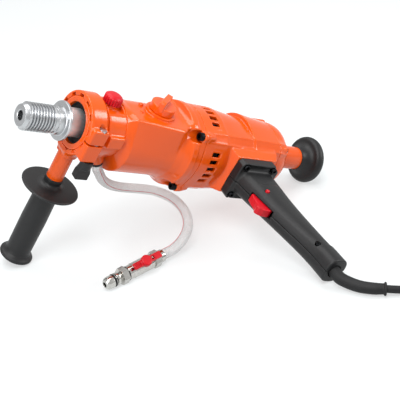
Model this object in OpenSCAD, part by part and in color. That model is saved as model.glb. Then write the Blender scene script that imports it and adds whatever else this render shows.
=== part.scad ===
// Hand-held wet core drill, lying on its front handle, grip end and palm knob as it is set down.
// The tool is modelled along its spindle: x runs back from the spindle's tip, y towards the front
// handle, z away from the pistol grip. It is then laid on the floor, +Z up, millimetres.

/* [Spindle] */
// Major diameter of the core bit thread (1-1/4 inch)
thread_d = 31.75; // [25:0.05:40]
// Distance from the tip to the end of the thread
thread_end = 38; // [30:1:42]
// Diameter of the water bore
bore_d = 11.3; // [8:0.1:14]
// Diameter of the bit stop collar
collar_d = 44.5; // [40:0.5:48]
// Distance from the tip to the collar's front face
collar_x = 50; // [46:1:54]

/* [Neck and front handle] */
// Diameter of the clamping neck
neck_d = 60; // [56:0.5:62]
// Distance from the tip to the front of the neck
neck_x = 67.5; // [64:0.5:70]
// Outer diameter of the handle's clamping collar
clamp_d = 73; // [70:1:78]
// Width of the handle's clamping collar along the spindle
clamp_w = 23; // [18:1:24]
// Notches round the collar's bore
clamp_notches = 12; // [8:1:16]
// Distance from the tip to the handle's axis
handle_x = 78; // [76:0.5:80]
// Diameter of the handle's tube
handle_tube_d = 20; // [18:0.5:22]
// Distance from the spindle axis to the hand guard
guard_y = 88; // [84:1:94]
// Diameter of the hand guard
guard_d = 69.4; // [60:1:76]
// Diameter of the handle's grip
handle_grip_d = 29.6; // [27:0.2:32]
// Diameter of the flange at the handle's end
handle_end_d = 40.4; // [36:0.4:44]
// Distance from the spindle axis to the handle's end
handle_end_y = 197; // [180:1:210]

/* [Gearbox] */
// Distance between the spindle axis and the motor axis
axis_offset = 9.5; // [8:0.5:11]
// Distance from the tip to the gearbox's front
gearbox_x = 116; // [115:0.5:118]
// Radius of the gearbox's round body
gearbox_r = 41.5; // [40.5:0.5:43]
// Height of the flat top over the spindle axis
top_h = 33; // [32:0.5:34]
// Distance from the tip to the joint between gearbox and motor
joint_x = 222; // [219:1:224]
// Radius of the round flange at that joint
flange_r = 51; // [49:0.5:53]
// Distance of each flange screw from the motor axis, along both sides
screw_off = 37.1; // [36:0.1:38]

/* [Motor] */
// Radius of the fan section
fan_case_r = 49.5; // [48:0.5:51]
// Vent slots in each group
vent_count = 5; // [3:1:6]
// Angle between neighbouring vent slots
vent_pitch = 11.5; // [9:0.5:13]
// Radius of the waist between the fan section and the brush section
waist_r = 42; // [40:0.5:44]
// Radius of the brush section at its front
brush_case_r = 47; // [45:0.5:49]
// Distance from the tip to the motor's end cap
cap_x = 350; // [346:1:354]
// Distance from the tip to the end of the end cap
cap_end = 377; // [374:1:380]

/* [Rear palm knob] */
// Diameter of the rear tube
rear_tube_d = 30; // [26:1:32]
// Distance from the tip to the front of the knob
knob_x = 421.5; // [415:0.5:432]
// Diameter of the knob
knob_d = 61.6; // [54:1:68]
// Length of the flare in front of the knob's rim
knob_flare = 18; // [12:1:20]
// Width of the knob's rim
knob_rim_w = 7.5; // [4:0.5:10]

/* [Pistol grip] */
// Distance from the motor axis to the face that carries the grip
grip_top = 54; // [52:1:56]
// Distance from the motor axis to the end of the grip
grip_end = 222; // [205:1:235]
// Wall of the grip's half shells
grip_wall = 2.6; // [2:0.2:3]
// Width of the trigger
trigger_w = 9.6; // [9:0.2:11]

/* [Water feed] */
// Outer diameter of the clear hose
hose_d = 12; // [10:0.5:13]
// Diameter of the water knob
water_knob_d = 20; // [18:0.5:21]
// Flutes round the water knob
water_knob_flutes = 16; // [12:1:20]

/* [Mains lead] */
// Diameter of the rubber cable
cable_d = 9; // [8:0.5:10]
// Loops in the put-away coil
coil_loops = 10; // [6:2:12]

/* [Hidden] */
$fn = 96;
orange = "#F0561A";
black = "#2E2E30";
red = "#E3102A";
steel = "#C9CBCE";
nickel = "#D6D6D2";
run_gap = 0.05;
part_gap = 0.4;

// Lengths along the spindle
neck_end = 93;
neck_r = neck_d / 2;
nose_r = 33;
nose_flat_h = 28;
seal_r = 23.5;
journal_r = 15;
bearing_x = 80;
bearing_w = 9;
water_seat_r = 20;
cross_hole_x = 102;
water_knob_x = 102;
knob_seat = 4;
spindle_end = 168;
lug_z = -39.5;
lug_round = 3;
lug_y = [-17, 25];
bolt_x = 82;
bolt_z = -34.2;
split_y = [0.6, 3];

// Gear train: the pinion on the armature drives the layshaft, and that drives the spindle gear
pressure_angle = 25;
addendum = 0.8;
dedendum = 1.05;
fast_module = 0.85;
armature_teeth = 10;
layshaft_teeth = 34;
slow_module = 1.5;
pinion_teeth = 10;
spindle_teeth = 27;
backlash = 0.12;
fast_centres = fast_module * (armature_teeth + layshaft_teeth) / 2;
slow_centres = slow_module * (pinion_teeth + spindle_teeth) / 2;
lay_y = (pow(slow_centres, 2) - pow(fast_centres, 2) + pow(axis_offset, 2)) / (2 * axis_offset);
lay_z = sqrt(pow(slow_centres, 2) - pow(lay_y, 2));
slow_gear_x = [138, 154];
fast_gear_x = [185, 198];
lay_x = [121, 209];
lay_r = 5;

// Housing
cavity_r = 37;
cavity_x = 128;
bridge_x = 158;
plate_x = 203;
plate_w = 10;
flange_x = 205;
flange_w = 8;
flange_seat_x = 215.5;
flare_x = 178;
shoulder_front = 30;
shoulder_back = 41;
selector_at = [166, -7];
selector_boss = 3;
ear_angles = [-155, -45, 45, 155];
selector_r = 16.5;
selector_h = 6.4;
selector_angle = 42;
fan_x = [224, 256];
waist_x = 298;
brush_x = 303;
rail_half = 7.5;
vent_x = 237;
vent_size = [5.2, 12];
cap_screw_off = 39.8;
cap_screw_seat = 12.5;
cap_boss_r = 5.4;
cap_boss_rim = 1.5;
armature_end = 368;
core_x = [264, 320];
stator_r = 37.4;
bearing_seat_r = 16;
front_seat_r = 11;
bush_r = 6.6;

// Pistol grip stations: distance below the motor axis, front, back, half width
grip_stations = [
  [60, 271, 325, 19], [72, 273, 324, 18.5], [90, 277, 325, 17.5], [110, 281, 326.5, 16.5],
  [131, 287, 328, 15.8], [152, 293, 329.5, 15.5], [175, 300, 331, 15.5], [193, 304, 332, 15.8],
  [196, 304.6, 334.6, 16.2], [grip_end, 306.5, 336.8, 16.4]
];
grip_sides = 32;
grip_power = 2.7;
flange_plate = [269.6, 331, 26.3, 12];
trigger_pivot = [290, 95];
grip_screw_x = [277.5, 322];
grip_screw_y = 20.5;
button_at = [289.8, 101.8];
button_r = 2.7;
shell_screw_at = [309, 190];
cable_exit = [321, grip_end];
sleeve_seat = 11;

// Water inlet, hose and valve
inlet = [101.5, 25, -15.5];
inlet_dir = unit([0.53, 0.84, 0.1]);
inlet_boss = 13;
inlet_run = 29;
hose_route = [
  [-111.5, 75, 105.5], [-104, 84, 93], [-91, 94, 81.5], [-75.5, 101.5, 70], [-58, 106, 60], [-37, 104, 52],
  [-23.5, 96.5, 48], [-13.5, 85, 43.5], [-8, 71, 39], [-7.5, 55.5, 33.5], [-12, 41, 27.5], [-21.5, 29, 21.5],
  [-35, 21.5, 15.5], [-49, 19, 10.5]
];
valve_run = 12;
valve_tail = [-73, 17, 8.2];
valve_yaw = 188;
valve_dir = [cos(valve_yaw), sin(valve_yaw), 0];
valve_lean = 40;
valve_pivot = 25;
valve_flats = 16;
valve_end = 47.4;
stem_h = 11;

// Mains lead from the grip's end to the plug
sleeve_route = [
  [64, -149, 12.6], [67, -156, 10.2], [72, -166, 8.4], [77, -174.5, 8], [85, -184, 8], [92, -190, 8], [97, -194.5, 8]
];
cable_dir = [cos(-35), sin(-35), 0];
cable_leave = [105, -200, 7];
cable_route = [cable_leave, [122, -212, 6], [142, -226, 5.8]];
coil_lead = 92;
tail_route = [[199, -265.5, 34], [211, -274, 29], [224, -283, 21.5]];
plug_back = [235, -291, 19];

// Coil: spirals in and out in four layers, climbing one layer in each half turn where it reverses
coil_pitch = cable_d + 0.7;
coil_layers = 4;
layer_turns = coil_loops / coil_layers;
coil_out = 6.9 * cable_d;
coil_low = cable_d / 2 + 1.3;
coil_rings = 24;
coil_angle = atan2(cable_dir[1], cable_dir[0]) - 90;
coil_start = cable_leave + coil_lead * cable_dir + [0, 0, coil_low - cable_leave[2]];
coil_centre = coil_start - coil_out * [cos(coil_angle), sin(coil_angle), 0];
function fold(u) = let (k = floor(u / layer_turns), f = u - k * layer_turns) k % 2 == 0 ? f : layer_turns - f;
function climb(u) = let (k = floor(u / layer_turns + 0.5), f = u - k * layer_turns)
  k == 0 ? 0 : k == coil_layers ? coil_layers - 1 : k - 0.5 + max(-0.5, min(0.5, 2 * f));
coil_path = [for (k = [0 : coil_loops * coil_rings]) let (u = k / coil_rings, r = coil_out - coil_pitch * fold(u))
  coil_centre + [r * cos(coil_angle + 360 * u), r * sin(coil_angle + 360 * u), coil_pitch * climb(u)]];
coil_first = coil_start - cable_d * cable_dir;
coil_last = coil_path[len(coil_path) - 1] + cable_d * cable_dir;
coil_points = concat([coil_first], coil_path, [coil_last]);
coil_gap = min([for (i = [0 : len(coil_path) - 1]) for (j = [i + coil_rings / 2 : len(coil_path) - 1])
  norm(coil_path[i] - coil_path[j])]) - cable_d;
tie_in = coil_out - coil_pitch * layer_turns - cable_d / 2 - 0.4;
tie_out = coil_out + cable_d / 2 + 0.4;
tie_top = coil_low + (coil_layers - 1) * coil_pitch + cable_d / 2 + 0.4;

// Vector helpers
function unit(v) = v / norm(v);
function sgn_pow(v, p) = sign(v) * pow(abs(v), p);

// Rings of the grip's loft, drawn in by the wall for its hollow
function grip_ring(st, inset) = [
  for (k = [0 : grip_sides - 1]) let (
    t = 360 * k / grip_sides,
    mid = (st[1] + st[2]) / 2,
    half = (st[2] - st[1]) / 2 - inset
  ) [
    mid + half * sgn_pow(cos(t), 2 / grip_power),
    axis_offset + (st[3] - inset) * sgn_pow(sin(t), 2 / grip_power),
    -st[0]
  ]
];

// The three things that the tool lies on: two round rims and the end of the grip
rim_round = 2;
knob_rim_round = 4;
knob_rim_x = knob_x + knob_flare + knob_rim_w;
grip_foot = grip_ring(grip_stations[len(grip_stations) - 1], 0);
function rim_contact(centre, axis, r, round, n) =
  centre - unit(n - axis * (n * axis)) * (r - round) - n * round;
function lowest(points, n, k = 0, best = 0) =
  k == len(points) ? points[best] : lowest(points, n, k + 1, points[k] * n < points[best] * n ? k : best);
function contacts(n) = [
  rim_contact([handle_x, handle_end_y - rim_round, 0], [0, 1, 0], handle_end_d / 2, rim_round, n),
  rim_contact([knob_rim_x, axis_offset, 0], [1, 0, 0], knob_d / 2, knob_rim_round, n),
  lowest(grip_foot, n)
];
function plane_normal(c, n) = let (m = unit(cross(c[1] - c[0], c[2] - c[0]))) m * n < 0 ? -m : m;
function settle(n, steps) = steps == 0 ? n : settle(plane_normal(contacts(n), n), steps - 1);
rest_up = settle(unit([-0.4, -0.9, 0.25]), 12);
rest_tilt = asin(-rest_up[0]);
rest_roll = atan2(rest_up[1], rest_up[2]);
rest_drop = -contacts(rest_up)[0] * rest_up;
centre_shift = [-202, 68];

// A tool point in the world frame
function turn_x(v, t) = [v[0], v[1] * cos(t) - v[2] * sin(t), v[1] * sin(t) + v[2] * cos(t)];
function turn_y(v, t) = [v[0] * cos(t) + v[2] * sin(t), v[1], v[2] * cos(t) - v[0] * sin(t)];
function to_world(v) =
  turn_y(turn_x(v, rest_roll), rest_tilt) + [centre_shift[0], centre_shift[1], rest_drop];

module tool() {
  translate([centre_shift[0], centre_shift[1], rest_drop]) rotate([rest_roll, rest_tilt, 0]) children();
}

// Places a shape whose height runs back along the spindle or motor axis
module on_spindle(x = 0) { translate([x, 0, 0]) rotate([0, 90, 0]) children(); }
module on_motor(x = 0) { translate([x, axis_offset, 0]) rotate([0, 90, 0]) children(); }
module on_layshaft(x = 0) { translate([x, lay_y, lay_z]) rotate([0, 90, 0]) children(); }

// A ring along the local height
module ring(r_out, r_in, h) {
  difference() {
    cylinder(r = r_out, h = h);
    translate([0, 0, -1]) cylinder(r = r_in, h = h + 2);
  }
}

// Involute spur gear with a tooth on its local x axis
function involute(rb, t) = rb * [cos(t) + t * PI / 180 * sin(t), sin(t) - t * PI / 180 * cos(t)];
function turned(p, t) = [p[0] * cos(t) - p[1] * sin(t), p[0] * sin(t) + p[1] * cos(t)];
function roll_at(rb, r) = sqrt(max(0, pow(r / rb, 2) - 1)) * 180 / PI;
function flank(rb, r, half) = let (t = roll_at(rb, r)) turned(involute(rb, t), -half);
function tooth(teeth, m) = let (
  rp = m * teeth / 2,
  rb = rp * cos(pressure_angle),
  ra = rp + addendum * m,
  rf = rp - dedendum * m,
  inv = tan(pressure_angle) * 180 / PI - pressure_angle,
  half = 90 / teeth + inv - backlash / rp * 45 / PI,
  steps = [for (k = [0 : 4]) max(rb, rf) + (ra - max(rb, rf)) * k / 4],
  low = turned([rf, 0], -half),
  side = concat([low], [for (r = steps) flank(rb, r, half)])
) concat(side, [for (k = [len(side) - 1 : -1 : 0]) [side[k][0], -side[k][1]]]);
module spur_gear(teeth, m, w) {
  shape = tooth(teeth, m);
  linear_extrude(w) polygon([for (k = [0 : teeth - 1]) for (p = shape) turned(p, 360 * k / teeth)]);
}

// Directions of the meshes, measured in the local frame of on_spindle and on_layshaft
slow_dir = atan2(lay_y, -lay_z);
fast_dir = atan2(axis_offset - lay_y, lay_z);

// Spindle
module spindle() color(steel) on_spindle() difference() {
  rotate_extrude() polygon([
    [0, 0], [12.6, 0], [thread_d / 2, 4.5], [thread_d / 2, thread_end], [15, thread_end + 0.8],
    [15, thread_end + 1.8], [16, thread_end + 2.6], [16, collar_x - 1], [17, collar_x],
    [collar_d / 2 - 0.8, collar_x], [collar_d / 2, collar_x + 0.8], [collar_d / 2, collar_x + 5.2],
    [collar_d / 2 - 0.8, collar_x + 6], [16, collar_x + 6], [16, bearing_x], [journal_r, bearing_x],
    [journal_r, 120], [14, 120], [14, bridge_x - 0.5], [10, bridge_x - 0.5], [10, spindle_end],
    [0, spindle_end]
  ]);
  translate([0, 0, -1]) cylinder(d = bore_d, h = cross_hole_x + 5);
  translate([0, 0, cross_hole_x]) rotate([90, 0, 0]) cylinder(d = 6, h = 40, center = true);
  for (side = [0, 180]) rotate([0, 0, -40 + side])
    translate([-20, 14, thread_end + 3.2]) cube([40, 10, collar_x - thread_end - 4.9]);
}

module spindle_gear() color(steel) on_spindle(slow_gear_x[0]) difference() {
  rotate([0, 0, slow_dir + 180 / spindle_teeth])
    spur_gear(spindle_teeth, slow_module, slow_gear_x[1] - slow_gear_x[0]);
  translate([0, 0, -1]) cylinder(r = 14.02, h = 40);
}

// Neck casting with the water chamber and the flat that carries the water knob
module front_neck() color(orange) difference() {
  union() {
    difference() {
      on_spindle(neck_x) rotate_extrude() polygon([
        [0, 0], [neck_r - 1, 0], [neck_r, 1], [neck_r, neck_end - neck_x], [nose_r - 1.5, neck_end - neck_x],
        [nose_r, neck_end - neck_x + 1.5], [nose_r, gearbox_x - neck_x - 3], [nose_r - 2.5, gearbox_x - neck_x],
        [0, gearbox_x - neck_x]
      ]);
      translate([neck_end - 1, -nose_r - 5, -40]) cube([gearbox_x - neck_end - 0.5, nose_r + 5 - nose_flat_h, 80]);
    }
    translate([neck_end + 2, -9, -37.5]) cube([gearbox_x - neck_end - 3, 14, 12]);
    translate([water_knob_x, -nose_flat_h + 6, 0]) rotate([90, 0, 0]) cylinder(r = 8, h = 6 + knob_seat);
    at_inlet(0) cylinder(r = 9, h = inlet_boss);
  }
  on_spindle(neck_x - 1) cylinder(r = seal_r + run_gap, h = bearing_x + bearing_w - neck_x + 1);
  on_spindle(neck_x) cylinder(r = water_seat_r, h = gearbox_x - neck_x + 1);
  at_inlet(-12) cylinder(r = 5.05, h = 40);
  water_knob_place() translate([0, 0, -12]) cylinder(r = 3.5 + run_gap, h = 14);
}

module shaft_seal() color(black) on_spindle(71) difference() {
  cylinder(r = seal_r, h = 8);
  translate([0, 0, -1]) cylinder(r = 16.1, h = 10);
  translate([0, 0, -1]) rotate_extrude() polygon([[17.5, 0], [22, 0], [21.5, 4], [18.5, 4]]);
}

module water_seals() color(black) for (x = [bearing_x + bearing_w + 2, 109])
  on_spindle(x) ring(water_seat_r - run_gap, journal_r + 0.1, 5);

// A plain ball bearing: two races, with grooves between them on both faces
module ball_bearing(r_in, r_out, w) {
  groove = (r_out - r_in) / 2;
  rotate_extrude() polygon([
    [r_in, 0], [r_in + 0.6 * groove, 0], [r_in + 0.7 * groove, 0.8], [r_out - 0.7 * groove, 0.8],
    [r_out - 0.6 * groove, 0], [r_out, 0], [r_out, w], [r_out - 0.6 * groove, w],
    [r_out - 0.7 * groove, w - 0.8], [r_in + 0.7 * groove, w - 0.8], [r_in + 0.6 * groove, w], [r_in, w]
  ]);
}

module spindle_bearings() color(steel) {
  on_spindle(bearing_x) ball_bearing(journal_r + run_gap, seal_r, bearing_w);
  on_spindle(bridge_x) ball_bearing(10 + run_gap, bearing_seat_r - run_gap, bearing_w);
}

// Front handle: a split collar round the neck, a tube, and a moulded grip with a hand guard
module handle_collar() color(orange) difference() {
  union() {
    on_spindle(neck_x) rotate_extrude() polygon([
      [neck_r - 1, 0], [clamp_d / 2 - 3, 0], [clamp_d / 2 - 0.8, 0.9], [clamp_d / 2, 3.2],
      [clamp_d / 2, clamp_w - 3], [clamp_d / 2 - 2.5, clamp_w], [neck_r - 1, clamp_w]
    ]);
    hull() for (y = [lug_y[0] + lug_round, lug_y[1] - lug_round]) translate([neck_x + 1, y, lug_z + lug_round])
      rotate([0, 90, 0]) cylinder(r = lug_round, h = clamp_w - 2, $fn = 32);
    translate([neck_x + 1, lug_y[0], lug_z + lug_round]) cube([clamp_w - 2, lug_y[1] - lug_y[0], 18]);
    translate([handle_x, neck_r, 0]) rotate([-90, 0, 0])
      cylinder(r1 = handle_tube_d / 2 + 4.2, r2 = handle_tube_d / 2 + 2.6, h = 12);
  }
  on_spindle(neck_x - 1) cylinder(r = neck_r + run_gap, h = clamp_w + 2);
  for (k = [0 : clamp_notches - 1]) on_spindle(neck_x - 1) rotate([0, 0, 360 * (k + 0.5) / clamp_notches])
    translate([neck_r - 2, -2.4, 0]) cube([4.2, 4.8, 7]);
  translate([neck_x - 1, split_y[0], -60]) cube([clamp_w + 2, split_y[1] - split_y[0], 40]);
  translate([bolt_x, -30, bolt_z]) rotate([-90, 0, 0]) cylinder(r = 3.1, h = 70);
  translate([bolt_x, lug_y[0] - 6, bolt_z]) rotate([-90, 0, 0]) cylinder(r = 5.2, h = 8);
  translate([handle_x, neck_r + 2, 0]) rotate([-90, 0, 0]) cylinder(d = handle_tube_d + 0.1, h = 20);
}

module handle_tube() color(orange) translate([handle_x, neck_r + 2, 0]) rotate([-90, 0, 0])
  ring(handle_tube_d / 2, handle_tube_d / 2 - 3, guard_y - 12 - neck_r - 2);

module handle_grip() color(black) translate([handle_x, 0, 0]) rotate([-90, 0, 0]) {
  rotate_extrude() {
    polygon([
      [0, guard_y - 12], [10.9, guard_y - 12], [10.9, guard_y - 7.5], [10.3, guard_y - 7],
      [11.8, guard_y - 3], [16, guard_y - 1.2], [guard_d / 2 - 1.2, guard_y], [guard_d / 2, guard_y + 1.2],
      [guard_d / 2 - 0.6, guard_y + 2.6], [17.5, guard_y + 3.4], [handle_grip_d / 2 - 0.4, guard_y + 6],
      [handle_grip_d / 2 + 0.5, guard_y + 50], [handle_grip_d / 2, handle_end_y - 12],
      [handle_grip_d / 2 + 1.5, handle_end_y - 7.5], [handle_end_d / 2 - rim_round, handle_end_y - 5],
      [handle_end_d / 2, handle_end_y - 4], [handle_end_d / 2, handle_end_y - rim_round],
      [handle_end_d / 2 - rim_round, handle_end_y], [0, handle_end_y]
    ]);
    translate([handle_end_d / 2 - rim_round, handle_end_y - rim_round]) circle(r = rim_round, $fn = 48);
  }
}

module clamp_bolt() color(steel) translate([bolt_x, lug_y[0] + 2, bolt_z]) rotate([-90, 0, 0]) {
  translate([0, 0, -3.5]) cylinder(r = 4.8, h = 3.5, $fn = 6);
  cylinder(r = 3, h = 54);
}

// Wing lever screwed on the clamp bolt
module clamp_lever() color(black) translate([bolt_x, lug_y[1] + part_gap, bolt_z]) rotate([-90, 0, 0]) difference() {
  union() {
    cylinder(r1 = 7.6, r2 = 7, h = 10);
    hull() {
      translate([-6.5, -4.5, 8]) cube([13, 9, 1]);
      translate([-8.2, -5.2, 14]) cube([16.4, 10.4, 9.4]);
    }
  }
  translate([0, 0, -1]) cylinder(r = 3 + run_gap, h = 30);
}

// Flat section of the gearbox: a circle with one corner drawn out to the shoulder
module shoulder_section(edge) {
  hull() {
    circle(r = gearbox_r, $fn = 64);
    translate([edge - 2, -top_h - axis_offset + 2]) circle(r = 2, $fn = 24);
  }
}

// Four ears round the motor axis, as flat shapes
module ears(r) {
  for (a = ear_angles) rotate([0, 0, a]) {
    translate([sqrt(2) * screw_off, 0]) circle(r = r, $fn = 48);
    translate([20, -r + 0.4]) square([sqrt(2) * screw_off - 20, 2 * r - 0.8]);
  }
}
module at_ears() { for (a = ear_angles) rotate([0, 0, a]) translate([sqrt(2) * screw_off, 0]) children(); }

module gearbox_housing() color(orange) difference() {
  union() {
    hull() {
      on_spindle(gearbox_x) cylinder(r = nose_r + 1, h = 1, $fn = 64);
      on_motor(124) linear_extrude(1) shoulder_section(shoulder_front);
    }
    hull() {
      on_motor(125) linear_extrude(1) shoulder_section(shoulder_front);
      on_motor(190) linear_extrude(flange_x - 189) shoulder_section(shoulder_back);
    }
    hull() {
      on_motor(flare_x) cylinder(r = gearbox_r - 0.5, h = 1, $fn = 64);
      on_motor(flange_x - 1) linear_extrude(2) intersection() {
        circle(r = flange_r - 0.5, $fn = 64);
        translate([-flange_r, part_gap - top_h - axis_offset]) square(2 * flange_r);
      }
    }
    on_motor(flange_x) cylinder(r = flange_r, h = flange_w);
    hull() on_motor(flange_x + flange_w - 1) linear_extrude(joint_x - flange_x - flange_w + 1)
      motor_section(fan_case_r, 54);
    on_motor(flange_x) linear_extrude(joint_x - flange_x) ears(6);
    translate([selector_at[0], -top_h - selector_boss, selector_at[1]]) rotate([-90, 0, 0])
      cylinder(r = selector_r + 3.6, h = selector_boss + 7);
  }
  on_motor(cavity_x) cylinder(r = cavity_r, h = joint_x - cavity_x + 1);
  on_spindle(gearbox_x - 1) cylinder(r = water_seat_r, h = 20);
  on_layshaft(lay_x[0] - 0.5) cylinder(r = bush_r, h = 20);
  on_motor(flange_x - 1) at_ears() cylinder(r = 2.6, h = joint_x - flange_x + 2);
  on_motor(flange_x - 24) at_ears() cylinder(r = 5.6, h = flange_seat_x - flange_x + 24);
  translate([selector_at[0], -60, selector_at[1]]) rotate([-90, 0, 0]) cylinder(r = 5 + run_gap, h = 60);
}

// Two-speed selector: a drum with a finger bar
module gear_selector() color(orange)
  translate([selector_at[0], -top_h - selector_boss - part_gap, selector_at[1]]) rotate([90, 0, 0]) {
    cylinder(r = selector_r - 1, h = selector_h);
    cylinder(r = selector_r, h = selector_h - 1);
    rotate([0, 0, selector_angle]) translate([-selector_r + 1, -3.4, selector_h - 1])
      cube([2 * selector_r - 2, 6.8, 11]);
    translate([0, 0, -8]) cylinder(r = 5, h = 9);
  }

module bearing_bridge() color("#B9BCC0") difference() {
  on_motor(bridge_x) cylinder(r = cavity_r - run_gap, h = bearing_w);
  on_spindle(bridge_x - 1) cylinder(r = bearing_seat_r, h = bearing_w + 2);
  on_layshaft(bridge_x - 1) cylinder(r = 10, h = bearing_w + 2);
}

module gear_plate() color("#B9BCC0") difference() {
  on_motor(plate_x) cylinder(r = cavity_r - run_gap, h = plate_w);
  on_motor(plate_x - 1) cylinder(r = front_seat_r, h = plate_w + 2);
  on_layshaft(plate_x - 1) cylinder(r = bush_r, h = 8);
}

module layshaft() color(steel) {
  on_layshaft(lay_x[0]) cylinder(r = lay_r, h = slow_gear_x[0] - lay_x[0]);
  on_layshaft(slow_gear_x[0]) rotate([0, 0, slow_dir + 180]) spur_gear(pinion_teeth, slow_module, 16);
  on_layshaft(slow_gear_x[1]) cylinder(r = lay_r, h = lay_x[1] - slow_gear_x[1] - 1);
}

module layshaft_gear() color(steel) on_layshaft(fast_gear_x[0]) difference() {
  rotate([0, 0, fast_dir + 180 / layshaft_teeth])
    spur_gear(layshaft_teeth, fast_module, fast_gear_x[1] - fast_gear_x[0]);
  translate([0, 0, -1]) cylinder(r = lay_r + 0.02, h = 20);
}

module layshaft_bushes() color("#B08D4A") {
  on_layshaft(lay_x[0] - 0.5) ring(bush_r - run_gap, lay_r + run_gap, 7);
  on_layshaft(plate_x + 0.5) ring(bush_r - run_gap, lay_r + run_gap, 6);
}

// Socket head cap screws that hold gearbox, plate and motor together
module cap_screw(r_head, h_head, r_shank, l_shank) {
  difference() {
    translate([0, 0, -h_head]) cylinder(r = r_head, h = h_head);
    translate([0, 0, -h_head - 1]) cylinder(r = r_head * 0.55, h = h_head * 0.6 + 1, $fn = 6);
  }
  cylinder(r = r_shank, h = l_shank);
}
module flange_screws() color(black) on_motor(flange_seat_x) at_ears() cap_screw(5, 6, 2.5, joint_x - flange_seat_x + 8.5);

// Motor section: a circle with two corner rails on the grip's side
module motor_section(r, rail_r) {
  circle(r = r, $fn = 72);
  for (a = [-45, 45]) rotate([0, 0, a]) translate([rail_r - 3, 0])
    for (side = [-1, 1]) translate([0, side * (rail_half - 2)]) circle(r = 2, $fn = 16);
}
module vent_slots() {
  for (group = [0 : 90 : 270]) for (k = [0 : vent_count - 1])
    rotate([0, 0, group + (k - (vent_count - 1) / 2) * vent_pitch]) translate([fan_case_r - 9, -vent_size[0] / 2, 0])
      cube([14, vent_size[0], vent_size[1]]);
}

module motor_housing() color(orange) difference() {
  union() {
    on_motor(joint_x) linear_extrude(12) ears(6);
    hull() {
      on_motor(joint_x) linear_extrude(1) motor_section(fan_case_r, 54);
      on_motor(fan_x[1]) linear_extrude(2) motor_section(fan_case_r - 1, 53);
    }
    hull() {
      on_motor(fan_x[1] + 1) linear_extrude(1) motor_section(fan_case_r - 1.5, 52.5);
      on_motor(waist_x - 2) linear_extrude(2) motor_section(waist_r, 49.5);
    }
    hull() on_motor(waist_x) linear_extrude(brush_x - waist_x + 1) motor_section(waist_r - 0.2, 49.3);
    hull() {
      on_motor(brush_x) linear_extrude(2) motor_section(brush_case_r, 50.5);
      on_motor(cap_x - 4) linear_extrude(4) motor_section(waist_r, 47);
    }
    on_motor(cap_x - 15) at_cap_screws() cylinder(r = cap_boss_r, h = 15 - part_gap);
    hull() {
      translate([flange_plate[0] - 6, axis_offset - 30, -46]) cube([74, 60, 6]);
      translate([flange_plate[0], axis_offset - flange_plate[2], -grip_top])
        cube([flange_plate[1] - flange_plate[0], 2 * flange_plate[2], 2]);
    }
  }
  on_motor(joint_x - 1) cylinder(r = stator_r + run_gap, h = cap_x - joint_x + 2);
  on_motor(fan_x[0]) cylinder(r = 45, h = fan_x[1] - fan_x[0]);
  on_motor(vent_x) vent_slots();
  on_motor(joint_x - 1) at_ears() cylinder(r = 2.55, h = 9.6);
  translate([285, axis_offset - 12, -60]) cube([30, 24, 30]);
  for (x = grip_screw_x) for (side = [-1, 1])
    translate([x, axis_offset + side * grip_screw_y, -60]) cylinder(r = 2.05, h = 17.5);
  on_motor(cap_x - 12) at_cap_screws() cylinder(r = 1.8, h = 14);
}

module stator() color("#7A4B2A") on_motor(core_x[0]) difference() {
  cylinder(r = stator_r, h = core_x[1] - core_x[0]);
  translate([0, 0, -1]) cylinder(r = 23, h = 70);
  for (side = [0, 180]) rotate([0, 0, side]) translate([26, -13, -1]) cube([6, 26, 70]);
}

module armature() color("#8F9296") on_motor() {
  translate([0, 0, fast_gear_x[0]]) rotate([0, 0, fast_dir + 180]) spur_gear(armature_teeth, fast_module, 15);
  translate([0, 0, 200]) cylinder(r = 4.9, h = plate_x - 200);
  translate([0, 0, plate_x]) cylinder(r = 5, h = plate_w + 2);
  translate([0, 0, plate_x + plate_w + 2]) cylinder(r = 6, h = core_x[0] - plate_x - plate_w - 2);
  translate([0, 0, core_x[0]]) difference() {
    cylinder(r = 22, h = core_x[1] - core_x[0]);
    for (k = [0 : 11]) rotate([0, 0, 30 * k]) translate([17, -1.2, -1]) cube([6, 2.4, 70]);
  }
  translate([0, 0, core_x[1]]) cylinder(r = 6, h = cap_x + 2 - core_x[1]);
  translate([0, 0, cap_x + 2]) cylinder(r = 4, h = armature_end - cap_x - 2);
}
module commutator() color("#B87333") on_motor(330) difference() {
  cylinder(r = 14, h = 16);
  translate([0, 0, -1]) cylinder(r = 6.02, h = 20);
  for (k = [0 : 23]) rotate([0, 0, 15 * k]) translate([13, -0.3, -1]) cube([3, 0.6, 18]);
}

module cooling_fan() color("#3A3A3C") on_motor(fan_x[0] + 3) difference() {
  union() {
    cylinder(r = 37.2, h = 2);
    cylinder(r = 10, h = 22);
    for (k = [0 : 10]) rotate([0, 0, 360 * k / 11]) translate([8, -1, 1]) cube([29, 2, 20]);
  }
  translate([0, 0, -1]) cylinder(r = 6.02, h = 30);
}

module armature_bearings() color(steel) {
  on_motor(plate_x) ball_bearing(5 + run_gap, front_seat_r - run_gap, 10);
  on_motor(cap_x + 7) ball_bearing(4 + run_gap, 11, 7);
}
module brush_holders() color("#B5A642") on_motor(332) for (side = [0, 180]) rotate([0, 0, 90 + side]) difference() {
  translate([16, -5, 0]) cube([20, 10, 12]);
  translate([15, -3.6, 2]) cube([22, 7.2, 8]);
}
module carbon_brushes() color("#26262A") on_motor(334.1) for (side = [0, 180]) rotate([0, 0, 90 + side])
  intersection() {
    translate([14.3, -3.5, 0]) cube([17, 7, 7.8]);
    ring(40, 14.3, 8);
  }

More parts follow.
